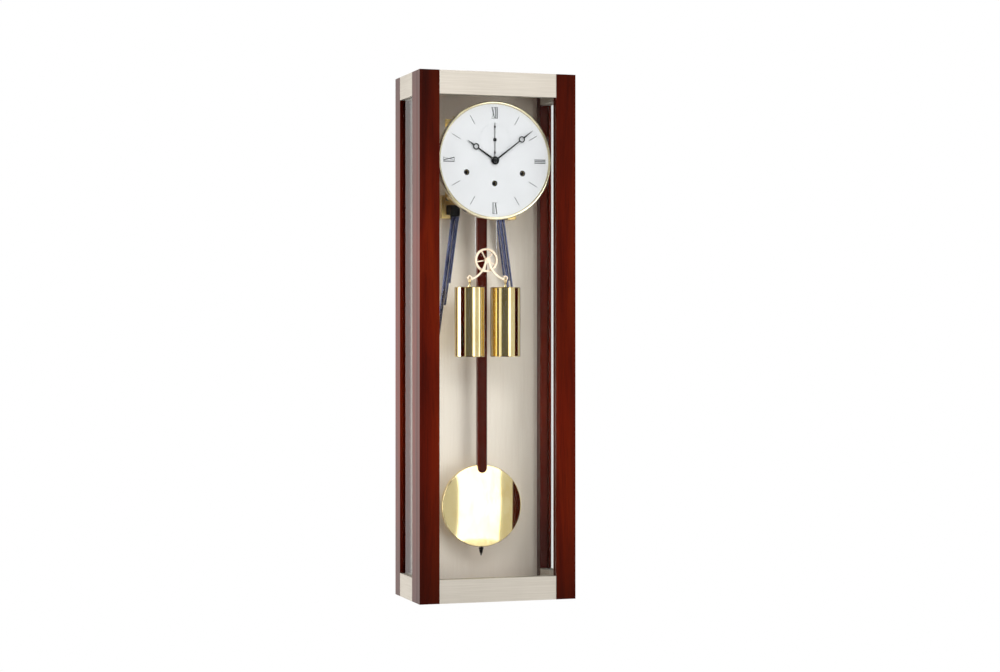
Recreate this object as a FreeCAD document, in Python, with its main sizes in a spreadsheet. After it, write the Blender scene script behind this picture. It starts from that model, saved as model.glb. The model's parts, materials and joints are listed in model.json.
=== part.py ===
import FreeCAD, Part
import math
import os
import re

import Sketcher
from FreeCAD import Placement, Rotation, Vector

# A pendulum wall clock with a glazed wooden case, a brass movement, two weights on one
# pulley, gong rods and a wooden-rod pendulum.
# Frame: +X to the clock's right as it is read, +Y into the wall, +Z up, millimetres.
# Origin: centre of the keyhole it hangs by, on the plane of the wall.

SIZES = {
    # case
    "case_width": 278,
    "case_height": 900,
    "case_depth": 158,
    "hang_drop": 50,
    "side_thick": 21,
    "side_post_deep": 31,
    "board_thick": 16,
    "back_thick": 12,
    "panel_thick": 1,
    "edge_soften": 0.8,
    # door
    "door_thick": 16.8,
    "door_gap": 0.4,
    "door_post_wide": 35,
    "rail_tall": 40,
    "rail_inset": 0.8,
    "glass_thick": 4,
    "glass_play": 0.1,
    "groove_deep": 5,
    "door_glass_back": -146,
    "side_glass_inset": 5,
    # hinges and catch
    "hinge_tall": 45,
    "hinge_wide": 22,
    "hinge_leaf": 1,
    "hinge_part": 0.2,
    "knuckle_radius": 2,
    "knuckle_play": 0.3,
    "hinge_pin_radius": 1,
    "pin_play": 0.05,
    "hinge_upper_at": -90,
    "hinge_lower_at": -710,
    "catch_wide": 14,
    "catch_tall": 40,
    "catch_at": -400,
    # keyhole plate and screws
    "hang_radius": 4.5,
    "slot_wide": 4.4,
    "slot_rise": 14,
    "hanger_thick": 2,
    "hanger_wide": 62,
    "hanger_tall": 44,
    "head_room": 6,
    "screw_radius": 2,
    "screw_head": 4,
    "screw_long": 9,
    # movement frame
    "plate_front_at": -118,
    "plate_back_at": -72,
    "plate_thick": 2,
    "plate_wide": 138,
    "plate_top": -24,
    "plate_foot": -172,
    "plate_corner": 14,
    "pillar_radius": 4,
    "stud_radius": 2,
    "pillar_side": 62.5,
    "pillar_top": -35.5,
    "pillar_foot": -160,
    "post_side": 28.5,
    "post_foot": -164,
    "arbor_radius": 1.2,
    "stout_radius": 3.6,
    "third_across": 12.5,
    "third_rise": 23.253,
    "escape_across": 16.9,
    "escape_rise": 39.674,
    "minute_stud_shift": 10.182,
    "bridge_at": -92,
    "bridge_thick": 2,
    "bridge_tall": 5,
    "bore_play": 0.05,
    # dial
    "dial_centre": -99,
    "dial_radius": 98.5,
    "dial_face": -136.5,
    "dial_thick": 1.5,
    "bezel_radius": 101.5,
    "bezel_wide": 5,
    "bezel_front": -140.2,
    "bezel_deep": 12,
    "dial_hole": 4.2,
    "winding_hole": 5,
    "winding_square": 5,
    "square_front": -131.5,
    "winding_side": 50,
    "winding_low": 21,
    "drum_low": 39,
    "foot_side": 58,
    "foot_rise": 52,
    # hands
    "minute_angle": 52,
    "hour_angle": 304.333,
    "hand_thick": 0.7,
    "hour_hand_at": -139.6,
    "minute_hand_at": -141.6,
    "seconds_hand_at": -138.1,
    "minute_reach": 85,
    "minute_ring_at": 60,
    "hour_reach": 59,
    "hour_ring_at": 41,
    "ring_outer": 5.5,
    "ring_inner": 3.6,
    "cap_radius": 6.5,
    "cap_deep": 2.4,
    "hour_boss": 7,
    "seconds_rise": 35.5,
    "seconds_reach": 29,
    "seconds_boss": 3,
    # weights, pulley and cable
    "weight_side": 32.4,
    "weight_plane": -95.5,
    "weight_radius": 26,
    "weight_top": -314.5,
    "weight_tall": 120,
    "axle_height": -267.5,
    "eye_drop": 31,
    "eye_reach": 4.2,
    "eye_wire": 1,
    "pulley_plane": -87,
    "pulley_radius": 20.5,
    "pulley_wide": 5,
    "groove_radius": 18.5,
    "cable_radius": 0.6,
    "drum_radius": 18.5,
    "flange_radius": 20.5,
    # pendulum
    "swing_height": -50,
    "rod_wide": 17,
    "rod_thick": 10,
    "rod_front": -67,
    "rod_top": -72,
    "rod_foot": -636.6,
    "bob_height": -694,
    "bob_radius": 71.5,
    "bob_plane": -58,
    "bob_edge_thick": 12,
    "bob_thick": 20,
    "spring_wide": 10,
    "screw_thread": 1.5,
    "screw_tail": 4,
    "nut_radius": 4.2,
    "nut_tall": 10,
    "nut_gap": 1.2,
    # gongs
    "gong_plane": -37,
    "gong_side": 41,
    "gong_top": -190,
    "gong_lean": 7.6,
    "gong_radius": 1.9,
    "gong_pitch": 3.7,
}

SHEET = "Sizes"
ARBOR_CLEAR = "(arbor_radius + bore_play)"

HALF = "case_width / 2"
TOP = "hang_drop"
FOOT = "(hang_drop - case_height)"
INNER = "(case_width / 2 - side_thick)"
DOOR_FRONT = "-case_depth"
DOOR_BACK = "(door_thick - case_depth)"
CASE_FRONT = "(door_thick + door_gap - case_depth)"
SWING_LINE = "(door_thick + door_gap / 2 - case_depth)"
OPEN_TOP = "(hang_drop - rail_tall)"
OPEN_FOOT = "(hang_drop - case_height + rail_tall)"
PANEL_FRONT = "(-back_thick - panel_thick)"
PLATE_HALF = "plate_wide / 2"

DOC = FreeCAD.newDocument("pendulum_wall_clock")
NODES = []


# ---------------------------------------------------------------- sheet and binding

def make_sheet():
    sheet = DOC.addObject("Spreadsheet::Sheet", SHEET)
    for row, (alias, number) in enumerate(SIZES.items(), start=1):
        sheet.set(f"A{row}", alias)
        sheet.set(f"B{row}", str(number))
        sheet.setAlias(f"B{row}", alias)
    DOC.recompute()
    return sheet


def named(expression):
    """An expression with the sheet's name put before each alias in it."""
    return re.sub(r"[a-z]+(?:_[a-z]+)+", SHEET + r".\g<0>", str(expression))


def bind(thing, path, expression):
    thing.setExpression(path, named(expression))


def place(thing, x=0, y=0, z=0):
    for axis, expression in zip("xyz", (x, y, z)):
        bind(thing, f"Placement.Base.{axis}", expression)
    return thing


def node(name, thing):
    """Make an object a finished sub-part, with its own name."""
    thing.Label = name
    NODES.append(thing)
    return thing


# ---------------------------------------------------------------- primitives and booleans

def block(name, x, y, z):
    """A box from the low to the high expression along each axis."""
    piece = DOC.addObject("Part::Box", name)
    for size, (low, high) in zip(("Length", "Width", "Height"), (x, y, z)):
        bind(piece, size, f"({high}) - ({low})")
    return place(piece, x[0], y[0], z[0])


AXIS_TURNS = {
    "X": Rotation(Vector(0, 1, 0), 90),
    "Y": Rotation(Vector(1, 0, 0), -90),
    "Z": Rotation(),
}


def rod(name, axis, start, length, radius):
    """A cylinder that runs from a start point towards +axis."""
    piece = DOC.addObject("Part::Cylinder", name)
    bind(piece, "Radius", radius)
    bind(piece, "Height", length)
    piece.Placement = Placement(Vector(), AXIS_TURNS[axis])
    return place(piece, *start)


def rod_y(name, x, z, low, high, radius):
    """A cylinder along Y, between two depths."""
    return rod(name, "Y", (x, low, z), f"({high}) - ({low})", radius)


def taper(name, axis, start, length, radius_low, radius_high):
    piece = DOC.addObject("Part::Cone", name)
    bind(piece, "Radius1", radius_low)
    bind(piece, "Radius2", radius_high)
    bind(piece, "Height", length)
    piece.Placement = Placement(Vector(), AXIS_TURNS[axis])
    return place(piece, *start)


def ball(name, centre, radius):
    piece = DOC.addObject("Part::Sphere", name)
    bind(piece, "Radius", radius)
    return place(piece, *centre)


def fuse(name, pieces):
    joined = DOC.addObject("Part::MultiFuse", name)
    joined.Shapes = pieces
    return joined


def group(name, pieces):
    """Identical separate pieces kept as one object."""
    gathered = DOC.addObject("Part::Compound", name)
    gathered.Links = pieces
    return gathered


def cut(name, base, tools):
    result = DOC.addObject("Part::Cut", name)
    result.Base = base
    result.Tool = tools[0] if len(tools) == 1 else fuse(f"{name}_tools", tools)
    return result


def common(name, pieces):
    result = DOC.addObject("Part::MultiCommon", name)
    result.Shapes = pieces
    return result


def soften(name, base, radius, wanted):
    """Round the edges of a base that a test picks."""
    DOC.recompute()
    rounded = DOC.addObject("Part::Fillet", name)
    rounded.Base = base
    picked = [i for i, edge in enumerate(base.Shape.Edges, start=1) if wanted(edge)]
    rounded.Edges = [(i, radius, radius) for i in picked]
    return rounded


# ---------------------------------------------------------------- sketched bodies

def plane_of(body, role):
    return next(part for part in body.Origin.OriginFeatures if part.Role == role)


def new_sketch(body, role, offset=0):
    """A sketch on one of the body's own origin planes, moved along the plane's normal."""
    sketch = body.newObject("Sketcher::SketchObject", f"{body.Name}_sketch")
    sketch.AttachmentSupport = [(plane_of(body, role), "")]
    sketch.MapMode = "FlatFace"
    bind(sketch, "AttachmentOffset.Base.z", offset)
    return sketch


def fix_point(sketch, item, corner, x, y):
    """Hold a point of the sketch at bound distances from its origin."""
    spot = sketch.Geometry[item].StartPoint if corner == 1 else sketch.Geometry[item].Center
    for kind, start, expression in (("DistanceX", spot.x, x), ("DistanceY", spot.y, y)):
        index = sketch.addConstraint(Sketcher.Constraint(kind, -1, 1, item, corner, start))
        bind(sketch, f"Constraints[{index}]", expression)


def draw_outline(sketch, points):
    """A closed outline of straight lines through bound points."""
    count = len(points)
    first = sketch.GeometryCount
    spots = [
        Vector(100 * math.cos(2 * math.pi * i / count), 100 * math.sin(2 * math.pi * i / count), 0)
        for i in range(count)
    ]
    for i in range(count):
        sketch.addGeometry(Part.LineSegment(spots[i], spots[(i + 1) % count]))
    for i in range(count):
        ends = (first + i, 2, first + (i + 1) % count, 1)
        sketch.addConstraint(Sketcher.Constraint("Coincident", *ends))
    for i, (x, y) in enumerate(points):
        fix_point(sketch, first + i, 1, x, y)


def draw_circle(sketch, x, y, radius):
    start = 10 + 5 * sketch.GeometryCount
    item = sketch.addGeometry(Part.Circle(Vector(start, start, 0), Vector(0, 0, 1), 1))
    fix_point(sketch, item, 3, x, y)
    index = sketch.addConstraint(Sketcher.Constraint("Radius", item, 1))
    bind(sketch, f"Constraints[{index}]", radius)


def upright_plate(name, front, thick, outline=None, disc=None, holes=()):
    """A plate that faces the front: an outline or a disc in X and Z, padded from front to back."""
    body = DOC.addObject("PartDesign::Body", name)
    sketch = new_sketch(body, "XZ_Plane", f"-(({front}) + ({thick}))")
    if outline:
        draw_outline(sketch, outline)
    if disc:
        draw_circle(sketch, *disc)
    for hole in holes:
        draw_circle(sketch, *hole)
    pad = body.newObject("PartDesign::Pad", f"{name}_pad")
    pad.Profile = sketch
    bind(pad, "Length", thick)
    return body


def turned(name, axis, profile):
    """A body turned about Y or Z through the origin, from (radius, distance) points."""
    body = DOC.addObject("PartDesign::Body", name)
    sketch = new_sketch(body, "XY_Plane" if axis == "Y" else "XZ_Plane")
    draw_outline(sketch, profile)
    turn = body.newObject("PartDesign::Revolution", f"{name}_turn")
    turn.Profile = sketch
    turn.ReferenceAxis = (sketch, ["V_Axis"])
    turn.Angle = 360
    return body


# ---------------------------------------------------------------- case

def long_edges(length):
    return lambda edge: edge.Length > length


def side_post(name, side, low, high, grooves):
    """One upright of a case side, grooved for the pane."""
    x = (INNER, HALF) if side > 0 else (f"-{HALF}", f"-{INNER}")
    blank = block(f"{name}_blank", x, (low, high), (FOOT, TOP))
    rounded = soften(f"{name}_rounded", blank, SIZES["edge_soften"], long_edges(800))
    return node(name, cut(name, rounded, grooves))


def pane_x(side, play):
    """Low and high X of a side pane or of its groove."""
    outer = f"(case_width / 2 - side_glass_inset + {play})"
    inner = f"(case_width / 2 - side_glass_inset - glass_thick - {play})"
    return (inner, outer) if side > 0 else (f"-{outer}", f"-{inner}")


def make_side(side, word):
    """The posts, rails and pane of one side."""
    window = (f"{CASE_FRONT} + side_post_deep", "-side_post_deep")
    groove_y = (f"{window[0]} - groove_deep", f"{window[1]} + groove_deep")
    groove_z = (f"{OPEN_FOOT} - groove_deep", f"{OPEN_TOP} + groove_deep")

    def groove(name):
        return block(name, pane_x(side, "glass_play"), groove_y, groove_z)

    front_tools = [groove(f"groove_front_{word}")]
    if side > 0:
        front_tools += hinge_mortises("case")
    side_post(f"side_post_front_{word}", side, CASE_FRONT, window[0], front_tools)
    side_post(f"side_post_rear_{word}", side, window[1], "0", [groove(f"groove_rear_{word}")])
    x = (INNER, HALF) if side > 0 else (f"-{HALF}", f"-{INNER}")
    for end, span in (("top", (OPEN_TOP, TOP)), ("bottom", (FOOT, OPEN_FOOT))):
        name = f"side_rail_{end}_{word}"
        node(name, cut(name, block(f"{name}_bar", x, window, span), [groove(f"groove_{end}_{word}")]))
    name = f"side_glass_{word}"
    glass_y = (f"{groove_y[0]} + glass_play", f"{groove_y[1]} - glass_play")
    glass_z = (f"{groove_z[0]} + glass_play", f"{groove_z[1]} - glass_play")
    node(name, block(name, pane_x(side, "0"), glass_y, glass_z))


def make_boards():
    x = (f"-{INNER}", INNER)
    y = (CASE_FRONT, "-back_thick")
    for name, z in (("top_board", (f"{TOP} - board_thick", TOP)),
                    ("bottom_board", (FOOT, f"{FOOT} + board_thick"))):
        node(name, block(name, x, y, z))
    blank = block("back_blank", x, ("-back_thick", "0"), (FOOT, TOP))
    tools = [hanger_block("hanger_bed"), keyhole_pocket()]
    for i, (across, up) in enumerate(back_screw_spots() + hanger_screw_spots()):
        tools += screw_shape(f"back_screw_hole_{i}", across, up, "bore_play")
    tools += post_screw_holes("board")
    node("back_board", cut("back_board", blank, tools))
    panel_z = (f"{FOOT} + board_thick", f"{TOP} - board_thick")
    panel = block("panel_blank", x, (PANEL_FRONT, "-back_thick"), panel_z)
    node("back_panel", cut("back_panel", panel, post_screw_holes("panel")))


# ---------------------------------------------------------------- keyhole plate and screws

def hanger_block(name):
    x = ("-hanger_wide / 2", "hanger_wide / 2")
    z = ("-hanger_tall / 2 + slot_rise / 4", "hanger_tall / 2 + slot_rise / 4")
    return block(name, x, ("-hanger_thick", "0"), z)


def keyhole_pocket():
    """Room behind the plate for the wall screw's head."""
    y = ("-hanger_thick - head_room", "-hanger_thick")
    reach = "(hang_radius + 3)"
    return block("head_pocket", (f"-{reach}", reach), y, (f"-{reach}", f"slot_rise + {reach}"))


def back_screw_spots():
    """Screws that hold the back board to the case."""
    side = f"({INNER} - 8)"
    rows = [TOP + " - board_thick / 2", FOOT + " + board_thick / 2"]
    return [(x, z) for z in rows for x in (f"-{side}", "0", side)]


def hanger_screw_spots():
    return [(f"{sign}hanger_wide / 2 - {sign}8", "slot_rise / 4") for sign in ("-", "+")]


def screw_shape(name, x, z, play):
    """A countersunk head flush with the back and a plain shank."""
    shank = rod_y(f"{name}_shank", x, z, f"-screw_long - {play}", "0", f"screw_radius + {play}")
    head = taper(f"{name}_head", "Y", (x, "-screw_radius", z), "screw_radius",
                 f"screw_radius + {play}", f"screw_head + {play}")
    return [shank, head]


def make_hanger():
    tools = [rod_y("keyhole_round", "0", "0", "-hanger_thick", "0", "hang_radius")]
    slot_x = ("-slot_wide / 2", "slot_wide / 2")
    tools.append(block("keyhole_slot", slot_x, ("-hanger_thick", "0"), ("0", "slot_rise")))
    tools.append(rod_y("keyhole_end", "0", "slot_rise", "-hanger_thick", "0", "slot_wide / 2"))
    for i, (x, z) in enumerate(hanger_screw_spots()):
        tools += screw_shape(f"hanger_hole_{i}", x, z, "bore_play")
    node("hanger_plate", cut("hanger_plate", hanger_block("hanger_blank"), tools))
    screws = []
    for i, (x, z) in enumerate(back_screw_spots() + hanger_screw_spots()):
        screws.append(fuse(f"back_screw_{i}", screw_shape(f"back_screw_body_{i}", x, z, "0")))
    node("back_screws", group("back_screws", screws))


# ---------------------------------------------------------------- door

def door_post(name, side, extra):
    x = (f"{HALF} - door_post_wide", HALF) if side > 0 else (f"-{HALF}", f"door_post_wide - {HALF}")
    blank = block(f"{name}_blank", x, (DOOR_FRONT, DOOR_BACK), (FOOT, TOP))
    rounded = soften(f"{name}_rounded", blank, SIZES["edge_soften"], long_edges(800))
    node(name, cut(name, rounded, [door_groove(f"{name}_groove")] + extra))


def door_groove(name):
    """The channel round the opening that the door's pane sits in."""
    reach = f"({HALF} - door_post_wide + groove_deep)"
    y = ("door_glass_back - glass_thick - glass_play", "door_glass_back + glass_play")
    z = (f"{OPEN_FOOT} - groove_deep", f"{OPEN_TOP} + groove_deep")
    return block(name, (f"-{reach}", reach), y, z)


def make_door():
    door_post("door_post_left", -1, [])
    door_post("door_post_right", 1, hinge_mortises("door"))
    x = (f"door_post_wide - {HALF}", f"{HALF} - door_post_wide")
    y = (f"{DOOR_FRONT} + rail_inset", DOOR_BACK)
    for end, z in (("top", (OPEN_TOP, TOP)), ("bottom", (FOOT, OPEN_FOOT))):
        name = f"door_rail_{end}"
        node(name, cut(name, block(f"{name}_bar", x, y, z), [door_groove(f"{name}_groove")]))
    reach = f"({HALF} - door_post_wide + groove_deep - glass_play)"
    glass_y = ("door_glass_back - glass_thick", "door_glass_back")
    glass_z = (f"{OPEN_FOOT} - groove_deep + glass_play", f"{OPEN_TOP} + groove_deep - glass_play")
    node("door_glass", block("door_glass", (f"-{reach}", reach), glass_y, glass_z))


HINGES = ("hinge_upper_at", "hinge_lower_at")


def hinge_mortises(owner):
    """Room for the leaf and the knuckles in a post's corner."""
    tools = []
    for i, height in enumerate(HINGES):
        low = f"({height} - hinge_tall / 2 - knuckle_play)"
        high = f"({height} + hinge_tall / 2 + knuckle_play)"
        corner = rod(f"{owner}_knuckle_room_{i}", "Z", (HALF, SWING_LINE, low), f"{high} - {low}",
                     "knuckle_radius + knuckle_play")
        bed = block(f"{owner}_leaf_bed_{i}", (f"{HALF} - hinge_wide", HALF), leaf_y(owner), (low, high))
        tools += [corner, bed]
    return tools


def leaf_y(owner):
    if owner == "door":
        return (f"{DOOR_BACK} - hinge_leaf", DOOR_BACK)
    return (CASE_FRONT, f"{CASE_FRONT} + hinge_leaf")


def knuckle(name, height, low, high):
    """A length of the barrel, given as shares of the hinge's height."""
    start = f"{height} + hinge_tall * ({low})"
    length = f"hinge_tall * ({high} - ({low})) - knuckle_play"
    return rod(name, "Z", (HALF, SWING_LINE, start), length, "knuckle_radius")


def leaf(name, owner, height, spans):
    """A hinge leaf, with a tab to each of its knuckles."""
    near = f"({HALF} - knuckle_radius - 2 * knuckle_play)"
    z = (f"{height} - hinge_tall / 2", f"{height} + hinge_tall / 2")
    pieces = [block(f"{name}_plate", (f"{HALF} - hinge_wide", near), leaf_y(owner), z)]
    for i, (low, high) in enumerate(spans):
        tab_z = (f"{height} + hinge_tall * ({low})", f"{height} + hinge_tall * ({high}) - knuckle_play")
        tab_y = leaf_y(owner)
        pieces.append(block(f"{name}_tab_{i}", (near, HALF), tab_y, tab_z))
        pieces.append(knuckle(f"{name}_knuckle_{i}", height, low, high))
    return pieces


def make_hinges():
    door_leaves = []
    case_leaves = []
    third = 1 / 6
    for i, height in enumerate(HINGES):
        pin_z = f"{height} - hinge_tall / 2"
        door_parts = leaf(f"door_leaf_{i}", "door", height, [(-third, third)])
        pin_length = "hinge_tall - knuckle_play"
        door_parts.append(rod(f"hinge_pin_{i}", "Z", (HALF, SWING_LINE, pin_z), pin_length,
                              "hinge_pin_radius"))
        door_leaves.append(fuse(f"door_leaf_{i}", door_parts))
        case_parts = leaf(f"case_leaf_{i}", "case", height, [(-0.5, -third), (third, 0.5)])
        bore = rod(f"hinge_bore_{i}", "Z", (HALF, SWING_LINE, pin_z), "hinge_tall",
                   "hinge_pin_radius + pin_play")
        case_leaves.append(cut(f"case_leaf_{i}", fuse(f"case_leaf_body_{i}", case_parts), [bore]))
    node("door_hinge_leaves", group("door_hinge_leaves", door_leaves))
    node("case_hinge_leaves", group("case_hinge_leaves", case_leaves))


def make_catch():
    """A magnet catch on the inner face of the left front post."""
    x = (f"-{INNER}", f"catch_wide - {INNER}")
    z = ("catch_at - catch_tall / 2", "catch_at + catch_tall / 2")
    y = (CASE_FRONT, f"{CASE_FRONT} + catch_wide")
    node("door_catch", block("door_catch", x, y, z))


# ---------------------------------------------------------------- movement frame

# Where each arbor stands, in X and Z.
ARBORS = {
    "centre": ("0", "dial_centre"),
    "third": ("third_across", "dial_centre + third_rise"),
    "escape": ("escape_across", "dial_centre + escape_rise"),
    "seconds": ("0", "dial_centre + seconds_rise"),
    "anchor": ("0", "swing_height"),
    "drum": ("0", "dial_centre - drum_low"),
    "strike": ("-winding_side", "dial_centre - winding_low"),
    "chime": ("winding_side", "dial_centre - winding_low"),
}
STOUT = ("drum", "strike", "chime")
MINUTE_STUD = ("-minute_stud_shift", "dial_centre - minute_stud_shift")


def arbor_size(name):
    return "stout_radius" if name in STOUT else "arbor_radius"


def bearing_holes(skipped=()):
    return [
        (x, z, f"{arbor_size(name)} + bore_play")
        for name, (x, z) in ARBORS.items() if name not in skipped
    ]


def pillar_spots():
    return [(f"{sign}pillar_side", z) for z in ("pillar_top", "pillar_foot") for sign in ("-", "")]


CABLE_STUD = ("-drum_radius - cable_radius", "plate_foot + 8")


def plate_outline():
    side = PLATE_HALF
    inner = f"({PLATE_HALF} - plate_corner)"
    return [
        (f"-{side}", "plate_top"),
        (side, "plate_top"),
        (side, "plate_foot + plate_corner"),
        (inner, "plate_foot"),
        (f"-{inner}", "plate_foot"),
        (f"-{side}", "plate_foot + plate_corner"),
    ]


def make_plates():
    clear = "stud_radius + bore_play"
    studs = [(x, z, clear) for x, z in pillar_spots()]
    front_holes = bearing_holes() + studs + dial_foot_holes()
    front = upright_plate("front_sheet", "plate_front_at", "plate_thick", outline=plate_outline(),
                          holes=front_holes)
    node("movement_front_plate", fuse("movement_front_plate", [front, wheel_stud(), seconds_bridge()]))
    back_holes = bearing_holes(("seconds",)) + studs + post_stud_holes() + [(*CABLE_STUD, clear)]
    back = upright_plate("back_sheet", "plate_back_at", "plate_thick", outline=plate_outline(),
                         holes=back_holes)
    node("movement_back_plate", back)


def seconds_bridge():
    """A small bridge behind the front plate that carries the rear end of the seconds arbor."""
    x, z = ARBORS["seconds"]
    half = "bridge_tall / 2"
    back = "bridge_at + bridge_thick"
    post = rod_y("bridge_post", "-9", z, "plate_front_at + plate_thick / 2", "bridge_at", half)
    bar = block("bridge_bar", ("-12", "3"), ("bridge_at", back), (f"{z} - {half}", f"{z} + {half}"))
    hole = rod_y("bridge_hole", x, z, "bridge_at - 1", f"{back} + 1", ARBOR_CLEAR)
    return cut("seconds_bridge", fuse("bridge_body", [post, bar]), [hole])


def wheel_stud():
    """The pin on the front plate that the minute wheel turns on."""
    return rod_y("minute_wheel_stud", *MINUTE_STUD, "-128", "plate_front_at + plate_thick / 2",
                 "arbor_radius")


def make_pillars():
    pillars = []
    for i, (x, z) in enumerate(pillar_spots()):
        shaft = rod_y(f"pillar_shaft_{i}", x, z, "plate_front_at + plate_thick", "plate_back_at",
                      "pillar_radius")
        stud = rod_y(f"pillar_stud_{i}", x, z, "plate_front_at - 3", "plate_back_at + plate_thick + 3",
                     "stud_radius")
        pillars.append(fuse(f"pillar_{i}", [shaft, stud]))
    pillars.append(cable_stud())
    node("movement_pillars", group("movement_pillars", pillars))


def cable_stud():
    """The short pillar on the back plate that the cable's fixed end hangs from."""
    shoulder = rod_y("cable_stud_shoulder", *CABLE_STUD, "pulley_plane - 3", "plate_back_at",
                     "stud_radius + 0.6")
    end = rod_y("cable_stud_end", *CABLE_STUD, "plate_back_at", "plate_back_at + plate_thick + 1",
                "stud_radius")
    return fuse("cable_stud", [shoulder, end])


def pillar_nut(name, x, z, low, high):
    nut = rod_y(f"{name}_body", x, z, low, high, "pillar_radius + 0.8")
    bore = rod_y(f"{name}_bore", x, z, low, high, "stud_radius + bore_play")
    return cut(name, nut, [bore])


def make_pillar_nuts():
    nuts = []
    for i, (x, z) in enumerate(pillar_spots()):
        nuts.append(pillar_nut(f"front_nut_{i}", x, z, "plate_front_at - 2.6", "plate_front_at"))
        back = "plate_back_at + plate_thick"
        nuts.append(pillar_nut(f"back_nut_{i}", x, z, back, f"{back} + 2.6"))
    node("pillar_nuts", group("pillar_nuts", nuts))


def post_spots():
    """Posts that carry the movement on the back board."""
    upper = [("-pillar_side + 22", "pillar_top - 2"), ("pillar_side - 22", "pillar_top - 2")]
    return upper + [("-post_side", "post_foot"), ("post_side", "post_foot")]


def post_stud_holes():
    return [(x, z, "stud_radius + bore_play") for x, z in post_spots()]


def post_screw_holes(owner):
    radius = "stud_radius + bore_play"
    return [
        rod_y(f"{owner}_post_hole_{i}", x, z, PANEL_FRONT, "-back_thick + 8", radius)
        for i, (x, z) in enumerate(post_spots())
    ]


def make_posts():
    posts = []
    back = "plate_back_at + plate_thick"
    for i, (x, z) in enumerate(post_spots()):
        shaft = rod_y(f"post_shaft_{i}", x, z, back, PANEL_FRONT, "pillar_radius")
        stud = rod_y(f"post_stud_{i}", x, z, "plate_back_at", "-back_thick + 7", "stud_radius")
        posts.append(fuse(f"post_{i}", [shaft, stud]))
    node("movement_posts", group("movement_posts", posts))


# ---------------------------------------------------------------- dial

def foot_spots():
    return [
        (f"{across}foot_side", f"dial_centre {up} foot_rise")
        for across in ("-", "") for up in ("-", "+")
    ]


def dial_foot_holes():
    return [(x, z, "stud_radius + bore_play") for x, z in foot_spots()]


def make_dial():
    winders = [(*ARBORS[name], "winding_hole") for name in STOUT]
    holes = [(*ARBORS["centre"], "dial_hole"), (*ARBORS["seconds"], "arbor_radius + 0.6")] + winders
    face = upright_plate("dial_disc", "dial_face", "dial_thick", disc=("0", "dial_centre", "dial_radius"),
                         holes=holes)
    feet = []
    for i, (x, z) in enumerate(foot_spots()):
        feet.append(rod_y(f"dial_foot_{i}", x, z, "dial_face + dial_thick", "plate_front_at",
                          "pillar_radius - 1"))
        feet.append(rod_y(f"dial_foot_stud_{i}", x, z, "dial_face + dial_thick / 2",
                          "plate_front_at + plate_thick", "stud_radius"))
    node("dial_plate", fuse("dial_plate", [face] + feet))


def make_bezel():
    """A rounded ring that clips round the dial's edge."""
    front = "bezel_front"
    inner = "(bezel_radius - bezel_wide)"
    profile = [
        ("bezel_radius", f"{front} + 2.2"),
        ("bezel_radius - 0.7", f"{front} + 0.7"),
        ("bezel_radius - 2", front),
        (f"{inner} + 2", f"{front} + 0.2"),
        (f"{inner} + 0.5", f"{front} + 1.2"),
        (inner, "dial_face - 0.1"),
        ("dial_radius + 0.1", "dial_face - 0.1"),
        ("dial_radius + 0.1", f"{front} + bezel_deep"),
        ("bezel_radius", f"{front} + bezel_deep"),
    ]
    node("dial_bezel", place(turned("dial_bezel", "Y", profile), z="dial_centre"))


# ---------------------------------------------------------------- gears

def size(alias):
    return float(SIZES[alias])


def mesh_phase(from_phase, from_teeth, bearing, to_teeth):
    """Angle of a tooth of the driven wheel, so that it meets a gap of the driver at rest."""
    from_pitch = 360 / from_teeth
    to_pitch = 360 / to_teeth
    share = ((bearing - from_phase) / from_pitch) % 1
    return bearing + 180 - (0.5 - share) * to_pitch


def toothed_face(teeth, module, phase):
    """A wheel's outline in X and Z about the origin, with narrow tapered teeth."""
    pitch_radius = teeth * module / 2
    root = pitch_radius - 1.15 * module
    tip = pitch_radius + 0.8 * module
    pitch = 2 * math.pi / teeth
    shares = ((root, -0.30), (pitch_radius, -0.185), (tip, -0.07), (tip, 0.07),
              (pitch_radius, 0.185), (root, 0.30))
    points = []
    for i in range(teeth):
        centre = math.radians(phase) + i * pitch
        for radius, share in shares:
            angle = centre + share * pitch
            points.append(Vector(radius * math.cos(angle), 0, radius * math.sin(angle)))
    return Part.Face(Part.makePolygon(points + points[:1]))


def cylinder_y(radius, low, high):
    return Part.makeCylinder(radius, high - low, Vector(0, low, 0), Vector(0, 1, 0))


def crossings(outer, inner, spokes, width, low, high):
    """The openings between a wheel's rim, spokes and hub."""
    ring = cylinder_y(outer, low, high).cut(cylinder_y(inner, low, high))
    for i in range(spokes):
        bar = Part.makeBox(outer + 1, high - low, width, Vector(0, low, -width / 2))
        bar.rotate(Vector(), Vector(0, 1, 0), 360 * i / spokes + 17)
        ring = ring.cut(bar)
    return ring


def gear(teeth, module, phase, low, high, spokes=0):
    """A toothed wheel about the Y axis."""
    wheel = toothed_face(teeth, module, phase).extrude(Vector(0, high - low, 0))
    wheel.translate(Vector(0, low, 0))
    if spokes:
        pitch_radius = teeth * module / 2
        wheel = wheel.cut(crossings(pitch_radius - 3 * module, 4.5, spokes, 2, low, high))
    return wheel


def solid_node(name, shapes, x, z):
    """Shapes about the Y axis, joined and stood at their arbor."""
    body = shapes[0].multiFuse(shapes[1:]) if len(shapes) > 1 else shapes[0]
    piece = DOC.addObject("Part::Feature", name)
    piece.Shape = body.removeSplitter()
    place(piece, x, 0, z)
    return node(name, piece)


PLATE_FRONT = size("plate_front_at")
PLATE_REAR = size("plate_back_at") + size("plate_thick")

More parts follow.
